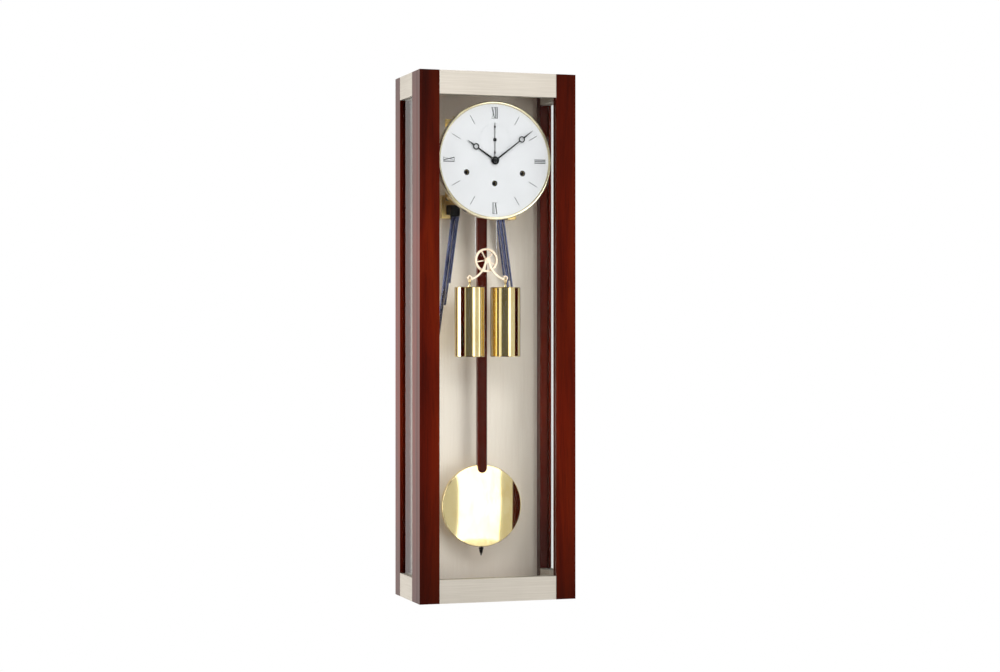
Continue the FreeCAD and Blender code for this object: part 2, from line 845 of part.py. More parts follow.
# Front and rear face of each wheel, pinion and hub, in Y.
DEPTHS = {
    "hour_pinion": (-126, -121.4),
    "hour_wheel": (-125.6, -124.2),
    "hour_hub": (-124.2, -123.2),
    "cannon_pinion": (-121.6, -119.4),
    "minute_wheel": (-121.4, -119.8),
    "centre_pinion": (-115, -108.6),
    "great_hub": (-114, -109.8),
    "great_wheel": (-113, -110.5),
    "ratchet": (-109.4, -107.4),
    "centre_hub": (-108.6, -103),
    "third_pinion": (-107.5, -102),
    "drum_core": (-107.4, -75),
    "centre_wheel": (-106, -104.6),
    "barrel_rim": (-105.6, -104),
    "barrel": (-104, -78),
    "drum_flange_front": (-103.4, -102),
    "drum": (-102, -77),
    "third_hub": (-102, -96),
    "escape_pinion": (-101, -95.5),
    "third_wheel": (-98.5, -97.1),
    "escape_hub": (-95.5, -81.5),
    "pallets": (-84.6, -82),
    "escape_wheel": (-84, -82.6),
    "barrel_teeth": (-78, -76.4),
    "drum_flange_rear": (-77, -75.6),
    "crutch": (-69.2, -67.8),
}
TRAIN_MODULE = 0.6
THIRD_MODULE = 0.5
GREAT_MODULE = 0.75
CANNON_MODULE = 0.6
HOUR_MODULE = 0.576

GREAT_TEETH = 96
CENTRE_TEETH = 80
THIRD_TEETH = 60
CANNON_TEETH = 12
MINUTE_TEETH = 36
SMALL_PINION = 8
TEN_PINION = 10
HOUR_TEETH = 40
RATCHET_TEETH = 40
BARREL_TEETH = 72
HUB_RADIUS = 2


def bearing_of(start, end):
    return math.degrees(math.atan2(end[1] - start[1], end[0] - start[0]))


CENTRE_AT = (0, size("dial_centre"))
THIRD_AT = (size("third_across"), size("dial_centre") + size("third_rise"))
ESCAPE_AT = (size("escape_across"), size("dial_centre") + size("escape_rise"))
SECONDS_AT = (0, size("dial_centre") + size("seconds_rise"))
DRUM_AT = (0, size("dial_centre") - size("drum_low"))
MINUTE_WHEEL_AT = (-size("minute_stud_shift"), size("dial_centre") - size("minute_stud_shift"))


def plain_arbor(low=PLATE_FRONT - 0.8, high=PLATE_REAR + 0.8):
    return cylinder_y(size("arbor_radius"), low, high)


def winding_arbor():
    """A stout arbor through both plates, with a square for the key in front."""
    side = size("winding_square")
    low = size("square_front")
    square = Part.makeBox(side, PLATE_FRONT - low, side, Vector(-side / 2, low, -side / 2))
    return [cylinder_y(size("stout_radius"), PLATE_FRONT - 1, PLATE_REAR + 1), square]


def make_train():
    """Great wheel, centre wheel, third wheel, escape wheel and seconds hand."""
    great = gear(GREAT_TEETH, GREAT_MODULE, 0, *DEPTHS["great_wheel"], spokes=6)
    bore = cylinder_y(size("stout_radius") + size("bore_play"), *DEPTHS["great_hub"])
    great = great.fuse(cylinder_y(6, *DEPTHS["great_hub"])).cut(bore)
    solid_node("great_wheel", [great], *ARBORS["drum"])

    centre_phase = mesh_phase(0, GREAT_TEETH, bearing_of(DRUM_AT, CENTRE_AT), SMALL_PINION)
    solid_node("centre_wheel", [
        gear(SMALL_PINION, GREAT_MODULE, centre_phase, *DEPTHS["centre_pinion"]),
        gear(CENTRE_TEETH, TRAIN_MODULE, 0, *DEPTHS["centre_wheel"], spokes=5),
        cylinder_y(HUB_RADIUS, *DEPTHS["centre_hub"]),
        plain_arbor(low=size("minute_hand_at") - 1),
    ], *ARBORS["centre"])

    third_phase = mesh_phase(0, CENTRE_TEETH, bearing_of(CENTRE_AT, THIRD_AT), SMALL_PINION)
    solid_node("third_wheel", [
        gear(SMALL_PINION, TRAIN_MODULE, third_phase, *DEPTHS["third_pinion"]),
        gear(THIRD_TEETH, THIRD_MODULE, 0, *DEPTHS["third_wheel"], spokes=5),
        cylinder_y(HUB_RADIUS, *DEPTHS["third_hub"]),
        plain_arbor(),
    ], *ARBORS["third"])

    escape_phase = mesh_phase(0, THIRD_TEETH, bearing_of(THIRD_AT, ESCAPE_AT), SMALL_PINION)
    solid_node("escape_wheel", [
        gear(SMALL_PINION, THIRD_MODULE, escape_phase, *DEPTHS["escape_pinion"]),
        escape_disc(*DEPTHS["escape_wheel"]),
        cylinder_y(HUB_RADIUS - 0.2, *DEPTHS["escape_hub"]),
        plain_arbor(),
    ], *ARBORS["escape"])

    seconds_phase = mesh_phase(0, THIRD_TEETH, bearing_of(THIRD_AT, SECONDS_AT), TEN_PINION)
    solid_node("seconds_hand", [
        gear(TEN_PINION, THIRD_MODULE, seconds_phase, *DEPTHS["escape_pinion"]),
        plain_arbor(low=size("seconds_hand_at"), high=size("bridge_at") + size("bridge_thick") + 0.4),
        seconds_pointer(),
    ], *ARBORS["seconds"])


ESCAPE_TEETH = 30
PALLET_SPREAD = 52
ESCAPE_TIP = 12.4
ESCAPE_ROOT = 10.4

# The corners of one escape tooth: radius, and share of the way to the next tooth.
ESCAPE_TOOTH = ((ESCAPE_ROOT, 0.0), (ESCAPE_TIP, 0.05), (ESCAPE_TIP, 0.12), (ESCAPE_ROOT, 0.45))


def escape_disc(low, high):
    """Thirty pointed teeth that lean the way the wheel turns."""
    pitch = 2 * math.pi / ESCAPE_TEETH
    points = []
    for i in range(ESCAPE_TEETH):
        for radius, share in ESCAPE_TOOTH:
            angle = (i + share) * pitch
            points.append(Vector(radius * math.cos(angle), low, radius * math.sin(angle)))
    disc = Part.Face(Part.makePolygon(points + points[:1])).extrude(Vector(0, high - low, 0))
    return disc.cut(crossings(8.8, 3, 4, 1.4, low, high))


def pointer_face(points, y):
    corners = [Vector(x, y, z) for x, z in points]
    return Part.Face(Part.makePolygon(corners + corners[:1]))


def seconds_pointer():
    """A thin two-ended hand with a lozenge near each end."""
    y = size("seconds_hand_at")
    reach = size("seconds_reach")
    thick = size("hand_thick") - 0.2
    boss = cylinder_y(size("seconds_boss"), y, y + thick)
    arm = [(-0.5, -reach), (0.5, -reach), (0.5, reach), (-0.5, reach)]
    shapes = [pointer_face(arm, y).extrude(Vector(0, thick, 0))]
    for sign in (-1, 1):
        middle = sign * (reach - 7)
        lozenge = [(0, middle - 3.6), (1.7, middle), (0, middle + 3.6), (-1.7, middle)]
        shapes.append(pointer_face(lozenge, y).extrude(Vector(0, thick, 0)))
    return boss.multiFuse(shapes)


def make_motion_work():
    """The twelve-to-one wheels between the minute hand and the hour hand."""
    clear = size("bore_play")
    cannon_bore = size("arbor_radius") + clear
    cannon_pipe = 2.2
    hour_bore = cannon_pipe + clear
    hour_pipe = 3.3
    hand_at = size("minute_hand_at")
    toward = bearing_of(CENTRE_AT, MINUTE_WHEEL_AT)

    cannon_low, cannon_high = DEPTHS["cannon_pinion"]
    cannon = gear(CANNON_TEETH, CANNON_MODULE, 0, cannon_low, cannon_high)
    cannon = cannon.fuse(cylinder_y(cannon_pipe, hand_at + size("hand_thick"), cannon_high))
    cannon = cannon.cut(cylinder_y(cannon_bore, hand_at - 1, cannon_high + 1))
    solid_node("cannon_pinion", [cannon], *ARBORS["centre"])

    minute_phase = mesh_phase(0, CANNON_TEETH, toward, MINUTE_TEETH)
    wheel_low, wheel_high = DEPTHS["minute_wheel"]
    wheel = gear(MINUTE_TEETH, CANNON_MODULE, minute_phase, wheel_low, wheel_high)
    wheel = wheel.fuse(gear(TEN_PINION, HOUR_MODULE, 0, *DEPTHS["hour_pinion"]))
    wheel = wheel.cut(cylinder_y(size("arbor_radius") + clear, DEPTHS["hour_pinion"][0] - 1, wheel_high + 1))
    solid_node("minute_wheel", [wheel], *MINUTE_STUD)

    hour_phase = mesh_phase(0, TEN_PINION, toward + 180, HOUR_TEETH)
    hour_back = DEPTHS["hour_hub"][1]
    hour = gear(HOUR_TEETH, HOUR_MODULE, hour_phase, *DEPTHS["hour_wheel"])
    hour = hour.fuse(cylinder_y(hour_pipe, size("hour_hand_at") + size("hand_thick"), hour_back))
    hour = hour.cut(cylinder_y(hour_bore, size("hour_hand_at") - 1, hour_back + 1))
    solid_node("hour_wheel", [hour], *ARBORS["centre"])


# ---------------------------------------------------------------- hands

def hand_blade(name, y, start, end, wide_start, wide_end):
    """A tapered blade that points up, from one height to another above the hand's boss."""
    outline = [
        (f"-{wide_start} / 2", start),
        (f"{wide_start} / 2", start),
        (f"{wide_end} / 2", end),
        (f"-{wide_end} / 2", end),
    ]
    return upright_plate(name, y, "hand_thick", outline=outline)


def ring_hand(name, y, reach, ring_at, boss, bore, blade):
    """A slim hand with an open ring near its tip."""
    pieces = [
        rod_y(f"{name}_boss", "0", "0", y, f"{y} + hand_thick", boss),
        hand_blade(f"{name}_shaft", y, "0", f"{ring_at} - ring_inner", blade, blade * 0.6),
        rod_y(f"{name}_ring", "0", ring_at, y, f"{y} + hand_thick", "ring_outer"),
        hand_blade(f"{name}_tip", y, f"{ring_at} + ring_inner", reach, blade * 0.9, 0.5),
    ]
    holes = [
        rod_y(f"{name}_eye", "0", ring_at, f"{y} - 1", f"{y} + hand_thick + 1", "ring_inner"),
        rod_y(f"{name}_bore", "0", "0", f"{y} - 0.5", f"{y} + hand_thick + 1", bore),
    ]
    return cut(f"{name}_flat", fuse(f"{name}_blank", pieces), holes)


def turn_hand(hand, angle):
    """Stand a hand on the dial's centre, turned clockwise from twelve."""
    place(hand, 0, 0, "dial_centre")
    hand.Placement.Rotation = Rotation(Vector(0, 1, 0), 1)
    bind(hand, "Placement.Rotation.Axis.y", "1")
    bind(hand, "Placement.Rotation.Angle", f"{angle} * 1deg")


def make_hands():
    front = "minute_hand_at"
    cap = taper("hand_cap", "Y", ("0", f"{front} - cap_deep", "0"), "cap_deep",
                "cap_radius - cap_deep", "cap_radius")
    minute = ring_hand("minute_hand", front, "minute_reach", "minute_ring_at", "cap_radius",
                       "arbor_radius / 2", 3.0)
    hollow = rod_y("cap_room", "0", "0", f"{front} - 1.1", f"{front} + 1", ARBOR_CLEAR)
    capped = cut("minute_hand_capped", fuse("minute_hand_body", [minute, cap]), [hollow])
    node("minute_hand", capped)
    turn_hand(capped, "minute_angle")
    hour = ring_hand("hour_hand_flat", "hour_hand_at", "hour_reach", "hour_ring_at", "hour_boss",
                     "2.25", 3.6)
    node("hour_hand", hour)
    turn_hand(hour, "hour_angle")


# ---------------------------------------------------------------- drum, barrels, escapement

def make_drum():
    """Grooved drum on its winding arbor, with the ratchet wheel in front."""
    radius = size("drum_radius")
    flange = size("flange_radius")
    low, high = DEPTHS["drum"]
    drum = cylinder_y(radius, low, high)
    turns = 7
    pitch = 3.2
    for i in range(turns):
        groove_at = Vector(0, low + 2.5 + pitch * i, 0)
        drum = drum.cut(Part.makeTorus(radius + 0.5, 0.8, groove_at, Vector(0, 1, 0)))
    pieces = [drum, cylinder_y(flange, *DEPTHS["drum_flange_front"]),
              cylinder_y(flange, *DEPTHS["drum_flange_rear"]),
              gear(RATCHET_TEETH, TRAIN_MODULE, 0, *DEPTHS["ratchet"]),
              cylinder_y(5, *DEPTHS["drum_core"])]
    solid_node("cable_drum", pieces + winding_arbor(), *ARBORS["drum"])


def make_barrels():
    """The spring barrels of the strike and the chime."""
    for name, arbor in (("strike_barrel", "strike"), ("chime_barrel", "chime")):
        pieces = [
            cylinder_y(17.2, *DEPTHS["barrel"]),
            cylinder_y(18, *DEPTHS["barrel_rim"]),
            gear(BARREL_TEETH, THIRD_MODULE, 0, *DEPTHS["barrel_teeth"]),
        ]
        solid_node(name, pieces + winding_arbor(), *ARBORS[arbor])


CRUTCH_LONG = 62
PALLET_INNER = 12.8
PALLET_OUTER = 15.6


def pallet_arm(angle, sign):
    """The corners of one arm and of the pallet at its end, in X and Z from the axis."""
    along = Vector(math.cos(angle), 0, math.sin(angle))
    side = Vector(-along.z, 0, along.x) * -sign
    half = side * 1.1
    inner = along * PALLET_INNER
    outer = along * PALLET_OUTER
    arm = [half, outer + half, outer - half, half * -1]
    pallet = [inner + side, inner + side * 1.9, outer + side * 1.9, outer + side]
    return arm, pallet


def make_anchor():
    """Pallet anchor on the pendulum's axis, with the crutch behind the back plate."""
    toward = bearing_of((0, size("swing_height")), ESCAPE_AT)
    low, high = DEPTHS["pallets"]
    crutch_low, crutch_high = DEPTHS["crutch"]
    pieces = [plain_arbor(high=crutch_high + 0.4), cylinder_y(2.6, low - 1, high + 1)]
    for sign in (-1, 1):
        for outline in pallet_arm(math.radians(toward + PALLET_SPREAD * sign), sign):
            corners = [point + Vector(0, low, 0) for point in outline]
            face = Part.Face(Part.makePolygon(corners + corners[:1]))
            pieces.append(face.extrude(Vector(0, high - low, 0)))
    thick = crutch_high - crutch_low
    pieces.append(Part.makeBox(3, thick, CRUTCH_LONG, Vector(-1.5, crutch_low, -CRUTCH_LONG)))
    pieces.append(cylinder_y(2.6, crutch_low, crutch_high))
    pieces.append(crutch_fork(crutch_low, thick))
    solid_node("pallet_anchor", pieces, *ARBORS["anchor"])


def crutch_fork(low, thick):
    """Two fingers that reach back on either side of the pendulum rod."""
    reach = size("rod_wide") / 2 + 0.1
    finger = 2
    foot = -CRUTCH_LONG - 2
    bar = Part.makeBox(2 * (reach + finger), thick, 3, Vector(-reach - finger, low, foot))
    fingers = [Part.makeBox(finger, 8, 3, Vector(x, low, foot)) for x in (-reach - finger, reach)]
    return bar.multiFuse(fingers)


def make_suspension():
    """Cock on the back plate, and the spring that the pendulum hangs from."""
    back = "plate_back_at + plate_thick"
    high = "swing_height + 14"
    arm = block("cock_arm", ("-9", "9"), (back, "bob_plane + 6"), ("swing_height + 5", high))
    slot_y = ("bob_plane - 1", "bob_plane + 1")
    slot = block("cock_slot", ("-7.2", "7.2"), slot_y, ("swing_height + 4", high))
    node("suspension_cock", cut("suspension_cock", arm, [slot]))
    top = block("spring_top", ("-6", "6"), ("bob_plane - 0.9", "bob_plane + 0.9"),
                ("swing_height + 5.4", "swing_height + 13"))
    leaf_z = ("rod_top", "swing_height + 6")
    leaf_x = ("-spring_wide / 2", "spring_wide / 2")
    leaf_piece = block("spring_leaf", leaf_x, ("bob_plane - 0.15", "bob_plane + 0.15"), leaf_z)
    node("suspension_spring", fuse("suspension_spring", [top, leaf_piece]))


# ---------------------------------------------------------------- pendulum

def make_rod():
    x = ("-rod_wide / 2", "rod_wide / 2")
    y = ("rod_front", "rod_front + rod_thick")
    straight = block("rod_straight", x, y, ("rod_foot + rod_wide / 2", "rod_top"))
    end = rod("rod_end", "Y", ("0", "rod_front", "rod_foot + rod_wide / 2"), "rod_thick", "rod_wide / 2")
    blank = fuse("rod_blank", [straight, end])
    blank.Refine = True
    rounded = soften("rod_rounded", blank, 2, front_edge)
    slit_y = ("bob_plane - 0.4", "bob_plane + 0.4")
    slit_x = ("-spring_wide / 2 - 1", "spring_wide / 2 + 1")
    slit = block("rod_slit", slit_x, slit_y, ("rod_top - 14", "rod_top + 1"))
    bore = rod("rod_bore", "Z", ("0", "bob_plane", "rod_foot - 1"), "25", "screw_thread + bore_play")
    node("pendulum_rod", cut("pendulum_rod", rounded, [slit, bore]))


def front_edge(edge):
    box = edge.BoundBox
    return box.YMax < size("rod_front") + 0.01 and box.ZMax > box.ZMin + 1


def make_rating_screw():
    """The thread that runs from inside the rod's foot, through the bob and the nut."""
    foot = "(bob_height - bob_radius - nut_gap - nut_tall - screw_tail)"
    length = f"rod_foot + 23 - {foot}"
    node("rating_screw", rod("rating_screw", "Z", ("0", "bob_plane", foot), length, "screw_thread"))


def make_bob():
    """A brass disc with crowned faces, slotted for the rod."""
    half = "bob_thick / 2"
    disc = rod_y("bob_disc", "0", "bob_height", f"bob_plane - {half}", f"bob_plane + {half}", "bob_radius")
    rise = "((bob_thick - bob_edge_thick) / 2)"
    crown = f"(bob_radius * bob_radius + {rise} * {rise}) / (2 * {rise})"
    front = ball("bob_front", ("0", f"bob_plane - {half} + {crown}", "bob_height"), crown)
    rear = ball("bob_rear", ("0", f"bob_plane + {half} - {crown}", "bob_height"), crown)
    lens = common("bob_lens", [disc, front, rear])
    rounded = soften("bob_rounded", lens, 1.2, lambda edge: edge.Length > 300)
    gap = "0.25"
    slot_foot = "rod_foot + rod_wide / 2"
    slot_x = (f"-rod_wide / 2 - {gap}", f"rod_wide / 2 + {gap}")
    slot_y = ("rod_front - 8", f"rod_front + rod_thick + {gap}")
    slot = block("bob_slot", slot_x, slot_y, (slot_foot, "bob_height + bob_radius + 1"))
    slot_end = rod("bob_slot_end", "Y", ("0", "rod_front - 8", slot_foot), f"rod_thick + 8 + {gap}",
                   f"rod_wide / 2 + {gap}")
    bore_start = ("0", "bob_plane", "bob_height - bob_radius - 2")
    bore = rod("bob_bore", "Z", bore_start, "2 * bob_radius + 6", "screw_thread + 0.2")
    node("pendulum_bob", cut("pendulum_bob", rounded, [slot, slot_end, bore]))


def make_rate_nut():
    """A small nut under the bob: a rim to turn it by, tapering to its foot."""
    top = "bob_height - bob_radius - nut_gap"
    bore = "screw_thread + bore_play"
    profile = [
        (bore, top),
        ("nut_radius - 0.4", top),
        ("nut_radius", f"{top} - 0.5"),
        ("nut_radius", f"{top} - 2.6"),
        ("nut_radius - 0.5", f"{top} - 3.1"),
        ("screw_thread + 0.8", f"{top} - nut_tall"),
        (bore, f"{top} - nut_tall"),
    ]
    node("rate_nut", place(turned("rate_nut", "Z", profile), y="bob_plane"))


# ---------------------------------------------------------------- weights, pulley, cable

def make_weights():
    top = "weight_top"
    foot = "weight_top - weight_tall"
    profile = [
        ("0", top),
        ("weight_radius - 1", top),
        ("weight_radius", f"{top} - 1"),
        ("weight_radius", f"{foot} + 1"),
        ("weight_radius - 1", foot),
        ("0", foot),
    ]
    for name, sign in (("weight_left", "-"), ("weight_right", "")):
        shell = place(turned(f"{name}_shell", "Z", profile), f"{sign}weight_side", "weight_plane")
        stem = rod(f"{name}_stem", "Z", (f"{sign}weight_side", "weight_plane", f"{top} - 1"), "4", "2.6")
        neck = rod(f"{name}_neck", "Z", (f"{sign}weight_side", "weight_plane", f"{top} + 2"), "4", "1.2")
        eye = DOC.addObject("Part::Torus", f"{name}_eye")
        bind(eye, "Radius1", "eye_reach")
        bind(eye, "Radius2", "eye_wire")
        eye.Placement = Placement(Vector(), Rotation(Vector(0, 1, 0), 90))
        place(eye, f"{sign}weight_side", "weight_plane", "axle_height - eye_drop - 1.1 - eye_reach")
        node(name, fuse(name, [shell, stem, neck, eye]))


def make_pulley():
    """A thin grooved rim on five slim spokes."""
    half = "pulley_wide / 2"
    plane = "pulley_plane"
    rim = turned("pulley_rim", "Y", [
        ("pulley_radius", f"{plane} - {half}"),
        ("pulley_radius", f"{plane} - {half} + 0.7"),
        ("groove_radius", f"{plane} - 0.7"),
        ("groove_radius", f"{plane} + 0.7"),
        ("pulley_radius", f"{plane} + {half} - 0.7"),
        ("pulley_radius", f"{plane} + {half}"),
        ("groove_radius - 1.4", f"{plane} + {half}"),
        ("groove_radius - 1.4", f"{plane} - {half}"),
    ])
    place(rim, z="axle_height")
    hub = rod_y("pulley_hub", "0", "axle_height", f"{plane} - {half}", f"{plane} + {half}", "3.4")
    pieces = [rim, hub]
    spokes = 5
    for i in range(spokes):
        bar = DOC.addObject("Part::Box", f"pulley_spoke_{i}")
        bind(bar, "Length", "groove_radius - 1")
        bind(bar, "Width", "1.6")
        bind(bar, "Height", "1.8")
        turn = Rotation(Vector(0, 1, 0), 26 + 360 * i / spokes)
        shift = turn.multVec(Vector(0, 0, -0.9))
        bar.Placement = Placement(Vector(), turn)
        place(bar, shift.x, f"{plane} - 0.8", f"axle_height + ({shift.z})")
        pieces.append(bar)
    bore = rod_y("pulley_bore", "0", "axle_height", f"{plane} - 4", f"{plane} + 4", "1.55")
    node("pulley", cut("pulley", fuse("pulley_body", pieces), [bore]))


YOKE_EYE = (size("weight_side"), size("eye_drop"))
YOKE_BAND = 3.4


def yoke_leg(sign):
    """One leg of the wishbone: steep at the axle and curling out to an eye, swept as a flat band."""
    across, drop = YOKE_EYE
    line = [Vector(1.6, 0, 2), Vector(4.6, 0, -9), Vector(11.0, 0, -20.5), Vector(19.0, 0, -28.0),
            Vector(across - 3.4, 0, -drop - 2.4)]
    curve = Part.BSplineCurve()
    curve.interpolate([Vector(sign * point.x, 0, point.z) for point in line])
    samples = 14
    outer = []
    inner = []
    for i in range(samples + 1):
        value = curve.FirstParameter + (curve.LastParameter - curve.FirstParameter) * i / samples
        point = curve.value(value)
        along = curve.tangent(value)[0]
        half = YOKE_BAND / 2 * (1.15 - 0.3 * i / samples)
        side = Vector(-along.z, 0, along.x).normalize() * half
        outer.append(point + side)
        inner.append(point - side)
    edges = [
        smooth_edge(outer),
        Part.LineSegment(outer[-1], inner[-1]).toShape(),
        smooth_edge(inner[::-1]),
        Part.LineSegment(inner[0], outer[0]).toShape(),
    ]
    return Part.Face(Part.Wire(edges))


def smooth_edge(points):
    curve = Part.BSplineCurve()
    curve.interpolate(points)
    return curve.toShape()


def make_yoke():
    """The wishbone hangs on the pulley's axle and carries a weight at each end."""
    across, drop = YOKE_EYE
    plane = size("weight_plane")
    low = plane - 0.9
    high = plane + 0.9
    pieces = [cylinder_y(4.6, low, high), cylinder_y(1.5, low - 1.2, size("pulley_plane") + 3.6),
              cylinder_y(2.6, low - 1.6, low), cylinder_y(2.6, high, size("pulley_plane") - 2.8)]
    for sign in (-1, 1):
        leg = yoke_leg(sign).extrude(Vector(0, high - low, 0))
        leg.translate(Vector(0, low, 0))
        ring = cylinder_y(4.4, low, high).cut(cylinder_y(2.3, low, high))
        ring.translate(Vector(sign * across, 0, -drop))
        pieces += [leg, ring]
    piece = DOC.addObject("Part::Feature", "pulley_yoke")
    piece.Shape = pieces[0].multiFuse(pieces[1:]).removeSplitter()
    place(piece, 0, 0, "axle_height")
    node("pulley_yoke", piece)


def make_cable():
    """One steel cable: drum, round the pulley, and up to the fixed pillar."""
    reach = size("drum_radius") + size("cable_radius")
    plane = size("pulley_plane")
    top = size("dial_centre") - size("drum_low")
    low = size("axle_height")
    fixed = size("plate_foot") + 8 - size("stud_radius") - 1.3
    right = Part.LineSegment(Vector(reach, plane, top), Vector(reach, plane, low)).toShape()
    bend = Part.Arc(Vector(reach, plane, low), Vector(0, plane, low - reach), Vector(-reach, plane, low))
    left = Part.LineSegment(Vector(-reach, plane, low), Vector(-reach, plane, fixed)).toShape()
    path = Part.Wire([right, bend.toShape(), left])
    ring = Part.Circle(Vector(reach, plane, top), Vector(0, 0, 1), size("cable_radius") * 0.97)
    tube = path.makePipeShell([Part.Wire(ring.toShape())], True, False)
    piece = DOC.addObject("Part::Feature", "cable")
    piece.Shape = tube
    place(piece, 0, 0, 0)
    node("cable", piece)


# ---------------------------------------------------------------- gongs

GONG_LENGTHS = {
    "left": (117, 156, 216, 190),
    "right": (103, 216, 112, 180),
}


def make_gongs():
    brackets = []
    blocks = []
    for word, sign in (("left", "-"), ("right", "")):
        brackets.append(gong_bracket(word, sign))
        blocks.append(gong_block(word, sign))
        make_gong_rods(word, sign)
    node("gong_brackets", group("gong_brackets", brackets))
    node("gong_blocks", group("gong_blocks", blocks))


def span(sign, inner, outer):
    """X range at one side, from the expression nearer the middle to the one further out."""
    return (inner, outer) if sign == "" else (f"-({outer})", f"-({inner})")


def gong_bracket(word, sign):
    """A brass bracket on the back panel."""
    y = ("gong_plane - 9", PANEL_FRONT)
    outer = block(f"gong_bracket_{word}_blank", span(sign, "gong_side - 7", "gong_side + 27"), y,
                  ("gong_top - 4", "gong_top + 36"))
    inner = block(f"gong_bracket_{word}_room", span(sign, "gong_side - 10", "gong_side + 20"),
                  ("gong_plane - 10", "gong_plane + 18"), ("gong_top + 2", "gong_top + 28"))
    throat = block(f"gong_bracket_{word}_throat", span(sign, "gong_side - 10", "gong_side + 12"),
                   ("gong_plane - 10", "gong_plane + 18"), ("gong_top - 5", "gong_top + 3"))
    return cut(f"gong_bracket_{word}", outer, [inner, throat])


def gong_block(word, sign):
    """The dark block in the bracket that grips the rods."""
    return block(f"gong_block_{word}", span(sign, "gong_side - 6.5", "gong_side + 10.5"),
                 ("gong_plane - 7", "gong_plane + 17.9"), ("gong_top", "gong_top + 20"))


def make_gong_rods(word, sign):
    """Rods that spread outwards below the block, each with a collar at its root."""
    direction = -1 if sign == "-" else 1
    rods = []
    for i, length in enumerate(GONG_LENGTHS[word]):
        offset = f"({i} - 1.5) * gong_pitch"
        x = f"{direction} * (gong_side + {offset})"
        y = f"gong_plane + {(-1) ** i * 1.2}"
        turn = Rotation(Vector(0, 1, 0), 180 - direction * size("gong_lean"))
        pieces = []
        for part, radius, reach in (("rod", "gong_radius", length), ("collar", "gong_radius + 0.6", 7)):
            piece = DOC.addObject("Part::Cylinder", f"gong_{word}_{part}_{i}")
            bind(piece, "Radius", radius)
            bind(piece, "Height", reach)
            piece.Placement = Placement(Vector(), turn)
            place(piece, x, y, "gong_top - 0.4")
            pieces.append(piece)
        rods.append(pieces)
    node(f"gong_rods_{word}", group(f"gong_rods_{word}", [fuse(f"gong_{word}_{i}", pair)
                                                          for i, pair in enumerate(rods)]))


# ---------------------------------------------------------------- build and export

def check_document():
    """Stop on any object that failed or any sub-part with a bad shape."""
    for thing in DOC.Objects:
        if "Invalid" in thing.State or "Error" in thing.State:
            raise RuntimeError(f"{thing.Label} failed: {thing.State}")
    for thing in NODES:
        if thing.Shape.isNull() or not thing.Shape.isValid():
            raise RuntimeError(f"{thing.Label} has a bad shape")


def export_nodes():
    os.makedirs("parts", exist_ok=True)
    for thing in NODES:
        thing.Shape.exportStep(os.path.join("parts", f"{thing.Label}.step"))


def main():
    make_sheet()
    make_boards()
    make_hanger()
    make_side(-1, "left")
    make_side(1, "right")
    make_door()
    make_hinges()
    make_catch()
    make_plates()
    make_pillars()
    make_pillar_nuts()
    make_posts()
    make_dial()
    make_bezel()
    make_train()
    make_motion_work()
    make_hands()
    make_drum()
    make_barrels()
    make_anchor()
    make_suspension()
    make_rod()
    make_rating_screw()
    make_bob()
    make_rate_nut()
    make_weights()
    make_pulley()
    make_yoke()
    make_cable()
    make_gongs()
    DOC.recompute()
    check_document()
    export_nodes()


main()
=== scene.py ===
import json
import math

import bmesh
import bpy
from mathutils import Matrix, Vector


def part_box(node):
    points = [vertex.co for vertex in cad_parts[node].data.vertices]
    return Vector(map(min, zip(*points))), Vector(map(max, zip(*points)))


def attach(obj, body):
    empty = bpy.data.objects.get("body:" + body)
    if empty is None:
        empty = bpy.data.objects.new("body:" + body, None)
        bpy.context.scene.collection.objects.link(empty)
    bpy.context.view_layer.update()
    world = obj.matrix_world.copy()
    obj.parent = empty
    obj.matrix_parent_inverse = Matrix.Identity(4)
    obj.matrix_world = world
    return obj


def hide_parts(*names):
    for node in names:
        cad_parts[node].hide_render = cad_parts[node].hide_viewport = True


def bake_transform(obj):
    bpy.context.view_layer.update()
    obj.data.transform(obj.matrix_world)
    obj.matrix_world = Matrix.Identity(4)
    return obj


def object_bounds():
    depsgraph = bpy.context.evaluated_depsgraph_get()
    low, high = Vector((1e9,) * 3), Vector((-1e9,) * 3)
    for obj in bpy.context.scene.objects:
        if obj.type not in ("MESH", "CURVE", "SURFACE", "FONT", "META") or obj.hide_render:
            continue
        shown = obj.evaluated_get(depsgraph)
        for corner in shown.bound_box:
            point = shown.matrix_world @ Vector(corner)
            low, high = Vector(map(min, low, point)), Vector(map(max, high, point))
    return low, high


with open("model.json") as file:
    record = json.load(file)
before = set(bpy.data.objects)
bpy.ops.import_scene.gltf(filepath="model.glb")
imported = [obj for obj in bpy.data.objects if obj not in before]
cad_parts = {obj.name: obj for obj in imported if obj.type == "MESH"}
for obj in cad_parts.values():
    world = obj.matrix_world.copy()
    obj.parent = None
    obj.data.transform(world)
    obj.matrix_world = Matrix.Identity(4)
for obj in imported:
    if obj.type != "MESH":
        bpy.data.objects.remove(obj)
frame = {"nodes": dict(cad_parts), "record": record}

CAD_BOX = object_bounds()
NODES = frame["nodes"]
MM = 0.001

# Sockets of a Mix node that mixes colours.
MIX_FIRST = 6
MIX_SECOND = 7
MIX_RESULT = 2


# ---------------------------------------------------------------- small helpers

def middle(node):
    """Middle of a CAD node's box."""
    low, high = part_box(node)
    return (low + high) / 2


def tint(red, green, blue):
    """A display colour from 0 to 255 as the linear colour that shaders take."""
    return tuple(((c / 255) ** 2.2) for c in (red, green, blue)) + (1.0,)


def grey(level):
    return (level, level, level, 1)


# ---------------------------------------------------------------- material building

def new_material(name, **sockets):
    """A material with one Principled shader and its plain values set."""
    made = bpy.data.materials.new(name)
    made.use_nodes = True
    shader = made.node_tree.nodes["Principled BSDF"]
    for socket, value in sockets.items():
        shader.inputs[socket.replace("_", " ")].default_value = value
    return made, shader


